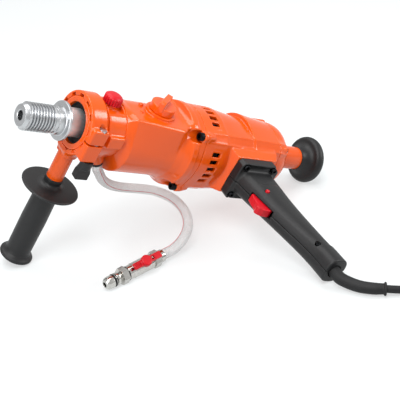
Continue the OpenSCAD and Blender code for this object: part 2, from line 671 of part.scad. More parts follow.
// Domed end cap with the rear bearing and the socket of the rear tube
module at_cap_screws() { for (a = [45 : 90 : 315]) rotate([0, 0, a]) translate([cap_screw_off, 0]) children(); }
module motor_end_cap() color(orange) difference() {
  union() {
    on_motor(cap_x) rotate_extrude() polygon(concat(
      [[0, 0], [waist_r - 0.4, 0]],
      [for (t = [0 : 15 : 75]) [waist_r - 17.6 + 17 * cos(t), 3 + (cap_end - cap_x - 3) * sin(t)]],
      [[20, cap_end - cap_x], [0, cap_end - cap_x]]
    ));
    on_motor(cap_x + part_gap) at_cap_screws() cylinder(r = cap_boss_r, h = cap_screw_seat + cap_boss_rim);
    hull() {
      on_motor(cap_x) linear_extrude(2) motor_section(waist_r - 2, 46.5);
      on_motor(cap_x + cap_screw_seat + 0.7) linear_extrude(2) motor_section(waist_r - 6, 43);
    }
  }
  on_motor(cap_x - 1) cylinder(r = 36, h = 9);
  on_motor(cap_x) cylinder(r = 11.05, h = 14);
  on_motor(cap_x + 13) cylinder(r = 6, h = 8);
  on_motor(cap_end - 8) cylinder(d = rear_tube_d + 0.1, h = 10);
  on_motor(cap_x - 1) at_cap_screws() cylinder(r = 2.1, h = 40);
  on_motor(cap_x + cap_screw_seat) at_cap_screws() cylinder(r = 4.2, h = 40);
}
module end_cap_screws() color(black) on_motor(cap_x + cap_screw_seat) at_cap_screws() mirror([0, 0, 1])
  cap_screw(3.8, 4, 1.75, cap_screw_seat + 10);

module rear_tube() color(orange) on_motor(cap_end - 8) ring(rear_tube_d / 2, rear_tube_d / 2 - 3, knob_x - cap_end + 8);

module palm_knob() color(black) on_motor(knob_x) {
  rotate_extrude() {
    polygon(concat(
      [[0, -12], [rear_tube_d / 2 - 3.1, -12], [rear_tube_d / 2 - 3.1, 0], [rear_tube_d / 2 + 0.6, 0]],
      [for (t = [0 : 15 : 75]) [
        rear_tube_d / 2 + 0.6 + (knob_d / 2 - knob_rim_round - rear_tube_d / 2 - 0.6) * (1 - cos(t)),
        (knob_flare - knob_rim_round) * sin(t)
      ]],
      [[knob_d / 2 - knob_rim_round, knob_flare - knob_rim_round], [knob_d / 2, knob_flare]],
      [[knob_d / 2, knob_flare + knob_rim_w]],
      [for (t = [0 : 10 : 90]) [
        (knob_d / 2 - knob_rim_round) * cos(t), knob_flare + knob_rim_w + 14 * sin(t)
      ]]
    ));
    for (along = [0, knob_rim_w]) translate([knob_d / 2 - knob_rim_round, knob_flare + along])
      circle(r = knob_rim_round, $fn = 48);
  }
}

// Loft through the grip's stations, with fans on both ends
module grip_loft(stations, inset) {
  n = grip_sides;
  last = len(stations) - 1;
  points = [for (st = stations) for (p = grip_ring(st, inset)) p];
  walls = [for (r = [0 : last - 1]) for (k = [0 : n - 1]) let (j = (k + 1) % n)
    each [[r * n + k, r * n + j, (r + 1) * n + k], [r * n + j, (r + 1) * n + j, (r + 1) * n + k]]];
  top = [for (k = [1 : n - 2]) [0, k + 1, k]];
  foot = [for (k = [1 : n - 2]) [last * n, last * n + k, last * n + k + 1]];
  polyhedron(points, concat(walls, top, foot));
}

// The grip before it is split: a chamfered flange over the lofted handle
module grip_solid() {
  difference() {
    union() {
      translate([0, axis_offset, -grip_top - flange_plate[3]]) linear_extrude(flange_plate[3]) polygon([
        [flange_plate[0], -flange_plate[2] + 4], [flange_plate[0] + 4, -flange_plate[2]],
        [flange_plate[1] - 8, -flange_plate[2]], [flange_plate[1], -flange_plate[2] + 8],
        [flange_plate[1], flange_plate[2] - 8], [flange_plate[1] - 8, flange_plate[2]],
        [flange_plate[0] + 4, flange_plate[2]], [flange_plate[0], flange_plate[2] - 4]
      ]);
      grip_loft(grip_stations, 0);
    }
    grip_loft(concat(
      [[grip_top - 1, 273, 325, 19]],
      [for (k = [0 : len(grip_stations) - 2]) grip_stations[k]],
      [[grip_end - 4, 306.4, 336.6, 16.4]]
    ), grip_wall);
    translate([255, axis_offset - trigger_w / 2 - 0.5, -128.6]) cube([41, trigger_w + 1, 36.4]);
    translate([cable_exit[0], axis_offset, -grip_end - 1]) cylinder(r = 8.05, h = sleeve_seat + 1);
    for (x = grip_screw_x) for (side = [-1, 1])
      translate([x, axis_offset + side * grip_screw_y, -grip_top - 20]) cylinder(r = 2.4, h = 22);
    for (x = grip_screw_x) for (side = [-1, 1])
      translate([x, axis_offset + side * grip_screw_y, -grip_top - 24]) cylinder(r = 5, h = 14);
    translate([button_at[0], axis_offset - 30, -button_at[1]]) rotate([-90, 0, 0]) cylinder(r = button_r + 0.1, h = 30);
    translate([shell_screw_at[0], axis_offset - 30, -shell_screw_at[1]]) rotate([-90, 0, 0])
      cylinder(r = 3.2, h = 18);
    translate([shell_screw_at[0], axis_offset - 30, -shell_screw_at[1]]) rotate([-90, 0, 0])
      cylinder(r = 1.8, h = 42);
  }
}
module grip_left() color(black) intersection() {
  grip_solid();
  translate([200, axis_offset, -300]) cube([200, 60, 300]);
}
module grip_right() color(black) intersection() {
  grip_solid();
  translate([200, axis_offset - 60, -300]) cube([200, 60, 300]);
}
module grip_flange_screws() color("#1B1B1D") for (x = grip_screw_x) for (side = [-1, 1])
  translate([x, axis_offset + side * grip_screw_y, -grip_top - 10])
    cap_screw(4, 4, 2, 21);
module grip_shell_screw() color("#1B1B1D")
  translate([shell_screw_at[0], axis_offset - 12, -shell_screw_at[1]]) rotate([-90, 0, 0])
    cap_screw(2.9, 2, 1.7, 20);
module switch_body() color("#1F2023") translate([299, axis_offset - 9, -132]) cube([18, 18, 44]);

// Rocker trigger: a side profile, wedge at the top and finger hook below
module trigger() color(red) translate([0, axis_offset + trigger_w / 2, 0]) rotate([90, 0, 0])
  linear_extrude(trigger_w) polygon([
    [280, -94], [275.6, -95.4], [270.8, -114.4], [268.6, -118.2], [270, -121.4], [275, -124.6],
    [286, -126.2], [292, -126], [294, -122], [294, -100], [291, -94]
  ]);
module lock_button() color(red) translate([button_at[0], axis_offset - 17, -button_at[1]]) rotate([-90, 0, 0]) {
  cylinder(r1 = button_r - 0.9, r2 = button_r, h = 1.2);
  translate([0, 0, 1.2]) cylinder(r = button_r, h = 5);
}
module cord_clamp() color("#1F2023") translate([cable_exit[0], axis_offset, -grip_end + sleeve_seat]) ring(9, cable_d / 2 + 0.1, 8);

// Water knob on its boss, with round flutes
module water_knob_place() {
  translate([water_knob_x, -nose_flat_h - knob_seat - part_gap, 0]) rotate([90, 0, 0]) children();
}
module water_knob() color(red) water_knob_place() {
  difference() {
    union() {
      cylinder(d = water_knob_d, h = 8);
      translate([0, 0, 8]) cylinder(d1 = water_knob_d, d2 = water_knob_d - 5, h = 3);
    }
    for (k = [0 : water_knob_flutes - 1]) rotate([0, 0, 360 * k / water_knob_flutes])
      translate([water_knob_d / 2 + 0.6, 0, -1]) cylinder(r = 1.4, h = 12, $fn = 24);
  }
  translate([0, 0, -8]) cylinder(r = 3.5, h = 9);
}

// Angled water inlet under the neck
module at_inlet(d) {
  translate(inlet + d * inlet_dir)
    rotate([0, acos(inlet_dir[2]), atan2(inlet_dir[1], inlet_dir[0])]) children();
}
module hose_fitting() color(nickel) difference() {
  union() {
    at_inlet(4) cylinder(r = 5, h = inlet_boss - 4);
    at_inlet(5) cylinder(r = 4, h = inlet_boss + 3);
  }
  at_inlet(3) cylinder(r = 2.6, h = 40);
}
module hose_clamp_upper() color(black) at_inlet(inlet_boss + 1)
  ring(hose_d / 2 + 1.2, hose_d / 2 + 0.15, 5);

// Cords and hoses: a round section swept along a smooth route
function catmull(p, k, t) = let (
  n = len(p),
  a = p[max(k - 1, 0)], b = p[k], c = p[k + 1], d = p[min(k + 2, n - 1)]
) 0.5 * ((2 * b) + (c - a) * t + (2 * a - 5 * b + 4 * c - d) * t * t + (3 * b - a - 3 * c + d) * t * t * t);
function smooth(p, steps) = concat(
  [for (k = [0 : len(p) - 2]) for (j = [0 : steps - 1]) catmull(p, k, j / steps)], [p[len(p) - 1]]
);
function heading(p, k) = unit(p[min(k + 1, len(p) - 1)] - p[max(k - 1, 0)]);
function hoop(c, dir, r, sides) = let (u = unit(cross(dir, [0, 0, 1])), v = cross(dir, u))
  [for (j = [0 : sides - 1]) c + r * (u * cos(360 * j / sides) + v * sin(360 * j / sides))];
function wall_faces(first, rings, sides, flip) = [
  for (k = [0 : rings - 2]) for (j = [0 : sides - 1]) let (
    a = first + k * sides + j, b = first + k * sides + (j + 1) % sides, c = a + sides, d = b + sides
  ) each flip ? [[a, b, c], [b, d, c]] : [[a, c, b], [b, c, d]]
];
module swept_tube(p, radii, sides, dir_first, dir_last) {
  n = len(p);
  dirs = [for (k = [0 : n - 1]) k == 0 ? dir_first : k == n - 1 ? dir_last : heading(p, k)];
  points = [for (k = [0 : n - 1]) each hoop(p[k], dirs[k], radii[k], sides)];
  first = [for (j = [1 : sides - 2]) [0, j, j + 1]];
  last = [for (j = [1 : sides - 2]) let (o = (n - 1) * sides) [o, o + j + 1, o + j]];
  polyhedron(points, concat(wall_faces(0, n, sides, false), first, last));
}
module swept_hose(p, r_out, r_in, sides, dir_first, dir_last) {
  n = len(p);
  dirs = [for (k = [0 : n - 1]) k == 0 ? dir_first : k == n - 1 ? dir_last : heading(p, k)];
  outer = [for (k = [0 : n - 1]) each hoop(p[k], dirs[k], r_out, sides)];
  inner = [for (k = [0 : n - 1]) each hoop(p[k], dirs[k], r_in, sides)];
  m = n * sides;
  first = [for (j = [0 : sides - 1]) let (i = (j + 1) % sides) each [[j, i, m + j], [i, m + i, m + j]]];
  last = [for (j = [0 : sides - 1]) let (i = (j + 1) % sides, o = m - sides)
    each [[o + j, o + m + j, o + i], [o + i, o + m + j, o + m + i]]];
  polyhedron(concat(outer, inner), concat(wall_faces(0, n, sides, false), wall_faces(m, n, sides, true), first, last));
}

hose_points = smooth(concat(
  [for (d = [inlet_boss, (inlet_boss + inlet_run) / 2, inlet_run]) to_world(inlet + d * inlet_dir)],
  hose_route,
  [for (d = [valve_run, valve_run / 2, 0]) valve_tail - d * valve_dir]
), 2);
module water_hose() color("#E4E8EA") swept_hose(
  hose_points, hose_d / 2, hose_d / 2 - 1.7, 12,
  unit(to_world(inlet_dir) - to_world([0, 0, 0])), valve_dir
);

// Ball valve and quick coupling nipple, lying on the floor with the lever turned up
module valve_axis() { translate(valve_tail) rotate([0, 0, valve_yaw]) children(); }
module valve_place() { valve_axis() rotate([-valve_lean, 0, 0]) children(); }
module along_x(x) { translate([x, 0, 0]) rotate([0, 90, 0]) children(); }
module hex_nut(x, w, flats) { translate([x, 0, 0]) rotate([90, 0, 90]) cylinder(d = flats / cos(30), h = w, $fn = 6); }
module valve_hose_nut() color(nickel) valve_axis() difference() {
  hex_nut(0, 9, valve_flats);
  along_x(-1) cylinder(r = 4.1, h = 12);
}
module valve_body() color(nickel) difference() {
  union() {
    valve_axis() {
      along_x(9) cylinder(r = 7.4, h = 3);
      along_x(12) cylinder(r = 8, h = 28);
      along_x(40) cylinder(r = 7.4, h = valve_end - 40);
      along_x(-8) cylinder(r = 4, h = 20);
    }
    valve_place() translate([valve_pivot, 0, 0]) cylinder(r = 5, h = stem_h - part_gap);
  }
  valve_axis() along_x(-15) cylinder(r = 2.8, h = 40);
  valve_axis() along_x(valve_pivot) cylinder(r = 4, h = 30);
  valve_place() translate([valve_pivot, 0, 0]) sphere(r = 6);
  valve_place() translate([valve_pivot, 0, 0]) cylinder(r = 2.5 + run_gap, h = 20);
}
module valve_ball() color(steel) valve_place() translate([valve_pivot, 0, 0]) difference() {
  sphere(r = 5.6);
  rotate([0, 90, 0]) cylinder(r = 2.8, h = 20, center = true);
  translate([0, 0, 4.5]) cylinder(r = 10, h = 5);
}
module valve_lever() color(red) valve_place() translate([valve_pivot, 0, stem_h]) difference() {
  union() {
    cylinder(r = 6.8, h = 4.5);
    translate([-30, -4.6, 1]) cube([30, 9.2, 3.5]);
    translate([0, -4.6, 1]) cube([19, 9.2, 3.5]);
    translate([0, 0, 4.5 - stem_h]) cylinder(r = 2.5, h = stem_h - 3);
  }
  translate([-12.5, -2, 0]) cube([4, 4, 8]);
}
module valve_stem_nut() color(steel) valve_place() translate([valve_pivot, 0, stem_h + 4.5])
  cylinder(r = 3.4, h = 2.4, $fn = 6);
module valve_nipple() color(nickel) valve_axis() difference() {
  union() {
    hex_nut(valve_end + 2, 8, valve_flats);
    along_x(valve_end + 10) rotate_extrude() polygon([
      [0, 0], [5.4, 0], [5.4, 3.6], [6.8, 4], [6.8, 6.6], [5.8, 7.2], [5.8, 8], [4.8, 8], [4.8, 10.6],
      [6.8, 10.6], [6.8, 17], [5.6, 21], [4.6, 22.6], [0, 22.6]
    ]);
    along_x(valve_end - 6) cylinder(r = 3.9, h = 9);
  }
  along_x(valve_end - 7) cylinder(r = 3, h = 50);
}
module nipple_seals() color("#161618") valve_axis() {
  along_x(valve_end) ring(7.8, 4.1, 2);
  along_x(valve_end + 19.3) rotate_extrude() translate([5.9, 0]) circle(r = 1, $fn = 24);
}

// Mains lead: bend sleeve, free stretch, tied coil, tail and plug
sleeve_points = smooth(concat(
  [for (d = [sleeve_seat, 0]) to_world([cable_exit[0], axis_offset, d - cable_exit[1]])], sleeve_route
), 2);
module cable_sleeve() color(black) {
  n = len(sleeve_points);
  swept_tube(
    sleeve_points, [for (k = [0 : n - 1]) k >= n - 2 ? 7.9 : 7.7 - 1.2 * k / n], 12,
    unit(to_world([0, 0, -1]) - to_world([0, 0, 0])), cable_dir
  );
}
cable_points = smooth(concat([sleeve_route[len(sleeve_route) - 1]], cable_route, [coil_first]), 2);
module mains_cable() color("#1F1F21") swept_tube(
  cable_points, [for (p = cable_points) cable_d / 2], 10, cable_dir, cable_dir
);

module cable_coil() color("#1F1F21") swept_tube(
  coil_points, [for (p = coil_points) cable_d / 2], 6, cable_dir, cable_dir
);
tail_points = smooth(concat([coil_last], tail_route, [plug_back]), 2);
module cable_tail() color("#1F1F21") swept_tube(
  tail_points, [for (p = tail_points) cable_d / 2], 10, cable_dir, cable_dir
);
module coil_tie() color("#151516") translate([coil_centre[0], coil_centre[1], 0]) rotate([0, 0, coil_angle + 75])
  difference() {
    translate([tie_in - 1, -5, 0]) cube([tie_out - tie_in + 2, 10, tie_top + 1]);
    translate([tie_in, -6, 1]) cube([tie_out - tie_in, 12, tie_top - 1]);
  }

// Earthed plug, lying on its round side
module plug_place() { translate(plug_back) rotate([0, 0, atan2(cable_dir[1], cable_dir[0])]) children(); }
module mains_plug() color("#1F1F21") plug_place() along_x(0) rotate_extrude() polygon([
  [0, 0], [6.5, 0], [8, 14], [13, 18], [18, 24], [18.5, 30], [18.5, 46], [17.5, 48], [0, 48]
]);
module plug_pins() color(nickel) plug_place() for (side = [-1, 1]) translate([48, side * 9.5, 0]) along_x(0) {
  cylinder(d = 4.8, h = 17);
  translate([0, 0, 17]) cylinder(d1 = 4.8, d2 = 3, h = 2);
}

tool() spindle();
tool() spindle_gear();
tool() front_neck();
tool() shaft_seal();
tool() water_seals();
tool() spindle_bearings();
tool() handle_collar();
tool() handle_tube();
tool() handle_grip();
tool() clamp_bolt();
tool() clamp_lever();
tool() gearbox_housing();
tool() gear_selector();
tool() bearing_bridge();
tool() gear_plate();
tool() layshaft();
tool() layshaft_gear();
tool() layshaft_bushes();
tool() flange_screws();
tool() motor_housing();
tool() stator();
tool() armature();
tool() commutator();
tool() cooling_fan();
tool() armature_bearings();
tool() brush_holders();
tool() carbon_brushes();
tool() motor_end_cap();
tool() end_cap_screws();
tool() rear_tube();
tool() palm_knob();
tool() grip_left();
tool() grip_right();
tool() grip_flange_screws();
tool() grip_shell_screw();
tool() switch_body();
tool() trigger();
tool() lock_button();
tool() cord_clamp();
tool() water_knob();
tool() hose_fitting();
tool() hose_clamp_upper();
valve_hose_nut();
water_hose();
valve_body();
valve_ball();
valve_lever();
valve_stem_nut();
valve_nipple();
nipple_seals();
cable_sleeve();
mains_cable();
cable_coil();
cable_tail();
coil_tie();
mains_plug();
plug_pins();
echo(rest_up = rest_up, tilt = rest_tilt, roll = rest_roll, drop = rest_drop);
echo(contacts = contacts(rest_up));
echo(coil_gap = coil_gap);
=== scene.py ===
# %% [markdown]
# # A hand-held core drill, dressed for the studio
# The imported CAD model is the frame: it fixes every size and every joint. This lesson lays detailed
# pieces over it, body by body, so that each one still moves with its joint. Lengths in the code are
# millimetres, because that is how the tool is drawn, and they turn to metres when a mesh is made.

import math

import bmesh
import bpy
import numpy as np
from mathutils import Matrix, Vector


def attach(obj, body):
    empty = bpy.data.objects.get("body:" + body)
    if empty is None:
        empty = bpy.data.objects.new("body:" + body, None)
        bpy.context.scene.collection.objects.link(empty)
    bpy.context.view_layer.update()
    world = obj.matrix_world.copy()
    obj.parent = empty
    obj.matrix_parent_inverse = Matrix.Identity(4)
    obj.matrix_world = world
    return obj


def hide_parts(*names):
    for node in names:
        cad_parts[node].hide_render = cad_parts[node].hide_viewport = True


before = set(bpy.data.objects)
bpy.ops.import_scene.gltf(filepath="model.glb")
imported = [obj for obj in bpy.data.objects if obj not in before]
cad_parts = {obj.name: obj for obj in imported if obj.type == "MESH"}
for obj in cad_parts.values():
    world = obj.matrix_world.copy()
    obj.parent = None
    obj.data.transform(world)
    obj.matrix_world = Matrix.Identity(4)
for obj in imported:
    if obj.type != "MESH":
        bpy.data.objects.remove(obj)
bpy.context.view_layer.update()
scene = bpy.context.scene

# %% [markdown]
# ## Two ways of saying where a point is
# A drill is drawn along its spindle: x runs back from the tip, y towards the front handle and z away
# from the pistol grip. It lies on the floor on three points, the front handle's rim, the palm knob's
# rim and the foot of the grip, so one rotation and one shift carry every drawn point to the floor.

# %% From the drawing to the floor
MM = 1000  # millimetres in a metre
X, Y, Z = np.eye(3)
ORIGIN = [0, 0, 0]
LEAN, ROLL = math.radians(23.1077), math.radians(-72.5124)
turned_over = Matrix.Rotation(LEAN, 4, "Y") @ Matrix.Rotation(ROLL, 4, "X")
laid_down = Matrix.Translation((-202, 68, 212.414)) @ turned_over
TURN = np.array(laid_down.to_3x3())
SHIFT = np.array(laid_down.translation)


def on_floor(points):
    return np.asarray(points, float) @ TURN.T + SHIFT


def lay(shape):
    """Carries a shape, which is points and faces, from the drawing to the floor."""
    return on_floor(shape[0]), shape[1]


def unit(v):
    v = np.asarray(v, float)
    return v / np.linalg.norm(v)


print("spindle tip", np.round(on_floor(ORIGIN), 1))

# %% [markdown]
# ## Camera
# The picture was matched with a 90 mm lens on a 36 mm sensor. The camera's three axes come from that
# match, so the tool has the same slant and the same perspective as in the photograph.

# %% Camera
eye = Vector((-0.59766, -0.83168, 0.64737))
forward = Vector((0.496195, 0.715957, -0.491116)).normalized()
right = Vector((0.813443, -0.581095, -0.025274)).normalized()
upward = right.cross(forward)
camera = bpy.data.objects.new("camera", bpy.data.cameras.new("camera"))
camera.data.lens, camera.data.sensor_width = 90, 36
camera.data.clip_start, camera.data.clip_end = 0.05, 30
camera.matrix_world = Matrix(
    [[right[i], upward[i], -forward[i], eye[i]] for i in range(3)] + [[0, 0, 0, 1]]
)
scene.collection.objects.link(camera)
scene.camera = camera
print("camera at", [round(v, 3) for v in eye])

# %% [markdown]
# ## Node trees and colours
# Shader trees and geometry trees are both lists of nodes and links. One small function adds a node,
# sets its options and fills its inputs, with a value or with a link. Colours are written as sRGB hex,
# as a paint maker gives them, and Blender's shaders want linear light, so one function converts them.
# The short helpers after it say what finishes are made of: patches, two shades, a range and a relief.

# %% The node adder and the colour function
def fill(tree, node, inputs):
    for key, value in inputs.items():
        if isinstance(value, bpy.types.NodeSocket):
            tree.links.new(value, node.inputs[key])
        else:
            node.inputs[key].default_value = value


def add(tree, kind, inputs=None, **options):
    node = tree.nodes.new(kind)
    for key, value in options.items():
        setattr(node, key, value)
    fill(tree, node, inputs or {})
    return node


def colour(hexa):
    parts = [int(hexa[i : i + 2], 16) / 255 for i in (1, 3, 5)]
    return [p / 12.92 if p <= 0.04045 else ((p + 0.055) / 1.055) ** 2.4 for p in parts] + [1]


print("orange in linear light", [round(v, 3) for v in colour("#EE5418")])

# %% Materials and the parts of a finish
slot_of = {}


def material(name, slot=None):
    made = bpy.data.materials.new(name)
    made.use_nodes = True
    slot_of[name] = slot
    tree = made.node_tree
    return made, tree, tree.nodes["Principled BSDF"], add(tree, "ShaderNodeTexCoord").outputs["Object"]


def noise(tree, place, size, detail=2):
    """Cloudy patches that are size millimetres wide."""
    made = add(tree, "ShaderNodeTexNoise", {"Vector": place, "Scale": MM / size, "Detail": detail})
    return made.outputs["Fac"]


def shades(tree, share, first, second):
    first, second = (colour(v) if isinstance(v, str) else v for v in (first, second))
    mixed = add(tree, "ShaderNodeMix", {"Factor": share, "A": first, "B": second}, data_type="RGBA")
    return mixed.outputs["Result"]


def ranged(tree, value, low, high, start=0.0, stop=1.0):
    ends = {"From Min": start, "From Max": stop, "To Min": low, "To Max": high}
    return add(tree, "ShaderNodeMapRange", {"Value": value, **ends}).outputs["Result"]


def relief(tree, height, strength, depth):
    bump = add(tree, "ShaderNodeBump", {"Height": height, "Strength": strength, "Distance": depth})
    return bump.outputs["Normal"]


def calc(tree, operation, a, b):
    return add(tree, "ShaderNodeMath", {0: a, 1: b}, operation=operation).outputs[0]


print("helpers", [f.__name__ for f in (material, noise, shades, ranged, relief, calc)])

# %% [markdown]
# ## Rubber and hose finishes
# Cable rubber is chlorinated rubber, extruded: nearly matte, with a fine dull grain. The water hose is
# clear soft PVC with a white polyester braid inside the wall and one red marking thread.

# %% Extruded rubber
rubber, tree, shader, place = material("extruded_rubber", "rubber")
# Dull black with a faint bloom that drifts over 15 mm, and a grain of 0.6 mm.
bloom = noise(tree, place, 15, 3)
fill(tree, shader, {
    "Base Color": shades(tree, bloom, "#151516", "#1E1E1F"), "Roughness": ranged(tree, bloom, 0.5, 0.66),
    "Normal": relief(tree, noise(tree, place, 0.6), 0.12, 0.0004), "IOR": 1.5, "Specular IOR Level": 0.3,
})
print(rubber.name)

# %% Clear PVC, its braid and its marking thread
clear_pvc, tree, shader, place = material("clear_soft_pvc", "clear_hose")
# Soft PVC is faintly milky: most of the light goes straight through each wall, in cloudy patches 6 mm
# wide, and a soft wet shine lies over it.
cloud = noise(tree, place, 6)
fill(tree, shader, {
    "Base Color": colour("#FBFBFA"), "Alpha": ranged(tree, cloud, 0.06, 0.12),
    "Roughness": ranged(tree, cloud, 0.18, 0.3), "IOR": 1.53,
})


def matte(name, slot, grain, detail, dark, light, roughness):
    made, tree, shader, place = material(name, slot)
    tint = shades(tree, noise(tree, place, grain, detail), dark, light)
    fill(tree, shader, {"Base Color": tint, "Roughness": roughness})
    return made


# Spun polyester is soft white, with a twist of 0.8 mm that shades the thread.
braid_white = matte("polyester_braid", "clear_hose", 0.8, 1, "#C4C7C9", "#F1F2F2", 0.7)
thread_red = matte("red_marking_thread", "clear_hose", 2, 1, "#C20F2A", "#D8203C", 0.6)
print(clear_pvc.name, braid_white.name, thread_red.name)

# %% [markdown]
# ## Tubes along a route
# Hoses and cables are tubes swept along a smooth route. The route is a few points that a
# Catmull-Rom curve passes through, as in the CAD model. The rings are carried along without twisting,
# so that a marking thread stays on one side as it does on a real hose.

# %% Route and tube helpers
def smooth_route(points, steps):
    p = np.asarray(points, float)
    out = []
    for k in range(len(p) - 1):
        a, b, c, d = p[max(k - 1, 0)], p[k], p[k + 1], p[min(k + 2, len(p) - 1)]
        for t in np.arange(steps) / steps:
            lower = 2 * b + (c - a) * t + (2 * a - 5 * b + 4 * c - d) * t**2
            out.append(0.5 * (lower + (3 * b - a - 3 * c + d) * t**3))
    return np.array(out + [p[-1]])


def carried_frames(path):
    along = np.gradient(path, axis=0)
    along /= np.linalg.norm(along, axis=1)[:, None]
    sides = [unit(np.cross(along[0], Z))]
    for way in along[1:]:
        sides.append(unit(sides[-1] - way * (sides[-1] @ way)))
    sides = np.array(sides)
    return along, sides, np.cross(along, sides)


def tube_mesh(path, radii, around, closed=True):
    _, side, over = carried_frames(path)
    radii = np.broadcast_to(np.asarray(radii, float), len(path))
    angle = 2 * np.pi * np.arange(around) / around
    rings = path[:, None] + radii[:, None, None] * (
        np.cos(angle)[None, :, None] * side[:, None] + np.sin(angle)[None, :, None] * over[:, None]
    )
    last = (len(path) - 1) * around
    faces = []
    for at in range(0, last, around):
        for j in range(around):
            i = (j + 1) % around
            faces.append((at + j, at + i, at + around + i, at + around + j))
    if closed:
        faces += [tuple(range(around))[::-1], tuple(range(last, last + around))]
    return rings.reshape(-1, 3), faces


print("two points become a route of", len(smooth_route([ORIGIN, X], 6)), "points")

# %% From a shape to a piece
def dress(name, shape, finish, stands_for=(), body="machine", slot=None, crease=38):
    """A shape on the floor becomes a finished piece that rides on a body."""
    points, faces = shape
    mesh = bpy.data.meshes.new(name)
    mesh.from_pydata(np.asarray(points, float) / MM, [], faces)
    mesh.materials.append(finish)
    piece = bpy.data.objects.new(name, mesh)
    scene.collection.objects.link(piece)
    return settle(piece, slot or slot_of[finish.name], stands_for, body, crease)


def settle(piece, slot, stands_for=(), body="machine", crease=38):
    work = bmesh.new()
    work.from_mesh(piece.data)
    bmesh.ops.remove_doubles(work, verts=work.verts, dist=1e-7)
    bmesh.ops.recalc_face_normals(work, faces=work.faces)
    work.to_mesh(piece.data)
    work.free()
    piece.data.polygons.foreach_set("use_smooth", [True] * len(piece.data.polygons))
    piece.data.set_sharp_from_angle(angle=math.radians(crease))
    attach(piece, body)
    if stands_for:
        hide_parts(*stands_for)
    print(piece.name, len(piece.data.polygons), "faces")
    return piece


print("helpers", [f.__name__ for f in (dress, settle)])

# %% [markdown]
# ## Water hose
# A clear hose leaves the barb under the neck, hangs in one loop and lies down to the ball valve on the
# floor. It is a real tube with a wall, so light goes in and out of it as it does in PVC. The braid is
# two families of threads that wind round the hose in opposite directions: that follows a rule along a
# path, so Geometry Nodes draws it from the hose's own route.

# %% Hose route and wall
HOSE_OUT, HOSE_IN, HOSE_SIDES = 6.6, 4.8, 28
inlet, inlet_dir = np.array([101.5, 25, -15.5]), unit([0.53, 0.84, 0.1])
hose_start = [on_floor(inlet + d * inlet_dir) for d in (13, 21, 29)]
hose_lay = [
    [-108, 77.5, 107], [-101, 86, 95], [-90, 94.5, 82], [-75.5, 101.5, 70], [-58, 106, 60], [-37, 104, 52],
    [-23.5, 96.5, 48], [-13.5, 85, 43.5], [-8, 71, 39], [-7.5, 55.5, 33.5], [-12, 41, 27.5],
    [-21.5, 29, 21.5], [-35, 21.5, 15.5], [-49, 19, 10.5],
]
valve_tail, valve_yaw = np.array([-73, 17, 9.2]), math.radians(188)
valve_dir = np.array([math.cos(valve_yaw), math.sin(valve_yaw), 0])
hose_path = smooth_route(hose_start + hose_lay + [valve_tail - d * valve_dir for d in (12, 6, 0)], 6)
outer, outer_faces = tube_mesh(hose_path, HOSE_OUT, HOSE_SIDES, closed=False)
inner, inner_faces = tube_mesh(hose_path, HOSE_IN, HOSE_SIDES, closed=False)
n = len(outer)
rims = []
for first in (0, n - HOSE_SIDES):
    for j in range(HOSE_SIDES):
        i = (j + 1) % HOSE_SIDES
        rims.append((first + j, first + i, n + first + i, n + first + j))
wall = outer_faces + [tuple(n + i for i in f[::-1]) for f in inner_faces] + rims
hose = dress("water_hose_wall", (np.vstack([outer, inner]), wall), clear_pvc, ["water_hose"])

# %% [markdown]
# ### The tree for the braid
# The tree starts from the hose's route as a curve. A straight line is copied once for each thread,
# and every point of a copy is moved to its place beside the route: the route is sampled at the same
# share of its length, and the point goes out by the braid's radius at an angle that grows with the
# length. The threads then become thin tubes.

# %% Helpers for geometry trees
SOCKETS = {int: "Int", float: "Float", bpy.types.Object: "Object", bpy.types.Material: "Material"}


def new_tree(name, inputs):
    """Each input is named with its usual value, or with the type of thing that goes there."""
    tree = bpy.data.node_groups.new(name, "GeometryNodeTree")

    def socket(label, way, kind):
        return tree.interface.new_socket(label, in_out=way, socket_type="NodeSocket" + kind)

    socket("Geometry", "INPUT", "Geometry")
    for label, usual in {**inputs, "Material": bpy.types.Material}.items():
        if isinstance(usual, type):
            socket(label, "INPUT", SOCKETS[usual])
        else:
            socket(label, "INPUT", SOCKETS[type(usual)]).default_value = usual
    socket("Geometry", "OUTPUT", "Geometry")
    return tree, add(tree, "NodeGroupInput").outputs


def geo(tree, kind, inputs=None, **options):
    return add(tree, "GeometryNode" + kind, inputs, **options).outputs


def finish_tree(tree, given, geometry):
    real = geo(tree, "RealizeInstances", {"Geometry": geometry})[0]
    painted = geo(tree, "SetMaterial", {"Geometry": real, "Material": given["Material"]})[0]
    add(tree, "NodeGroupOutput", {0: painted})


def grow(name, start, tree, values):
    """Runs a tree on a start object and returns its result as a plain mesh object."""
    seed = bpy.data.objects.new(name, start)
    scene.collection.objects.link(seed)
    made = seed.modifiers.new("nodes", "NODES")
    made.node_group = tree
    for item in tree.interface.items_tree:
        if item.in_out == "INPUT" and item.name in values:
            made[item.identifier] = values[item.name]
    graph = bpy.context.evaluated_depsgraph_get()
    mesh = bpy.data.meshes.new_from_object(seed.evaluated_get(graph), depsgraph=graph)
    mesh.name = name
    bpy.data.objects.remove(seed)
    piece = bpy.data.objects.new(name, mesh)
    scene.collection.objects.link(piece)
    return piece


def route_curve(name, path):
    curve = bpy.data.curves.new(name, "CURVE")
    curve.dimensions = "3D"
    spline = curve.splines.new("POLY")
    spline.points.add(len(path) - 1)
    spline.points.foreach_set("co", np.hstack([path / MM, np.ones((len(path), 1))]).ravel())
    return curve


print("helpers", [f.__name__ for f in (new_tree, geo, finish_tree, grow, route_curve)])

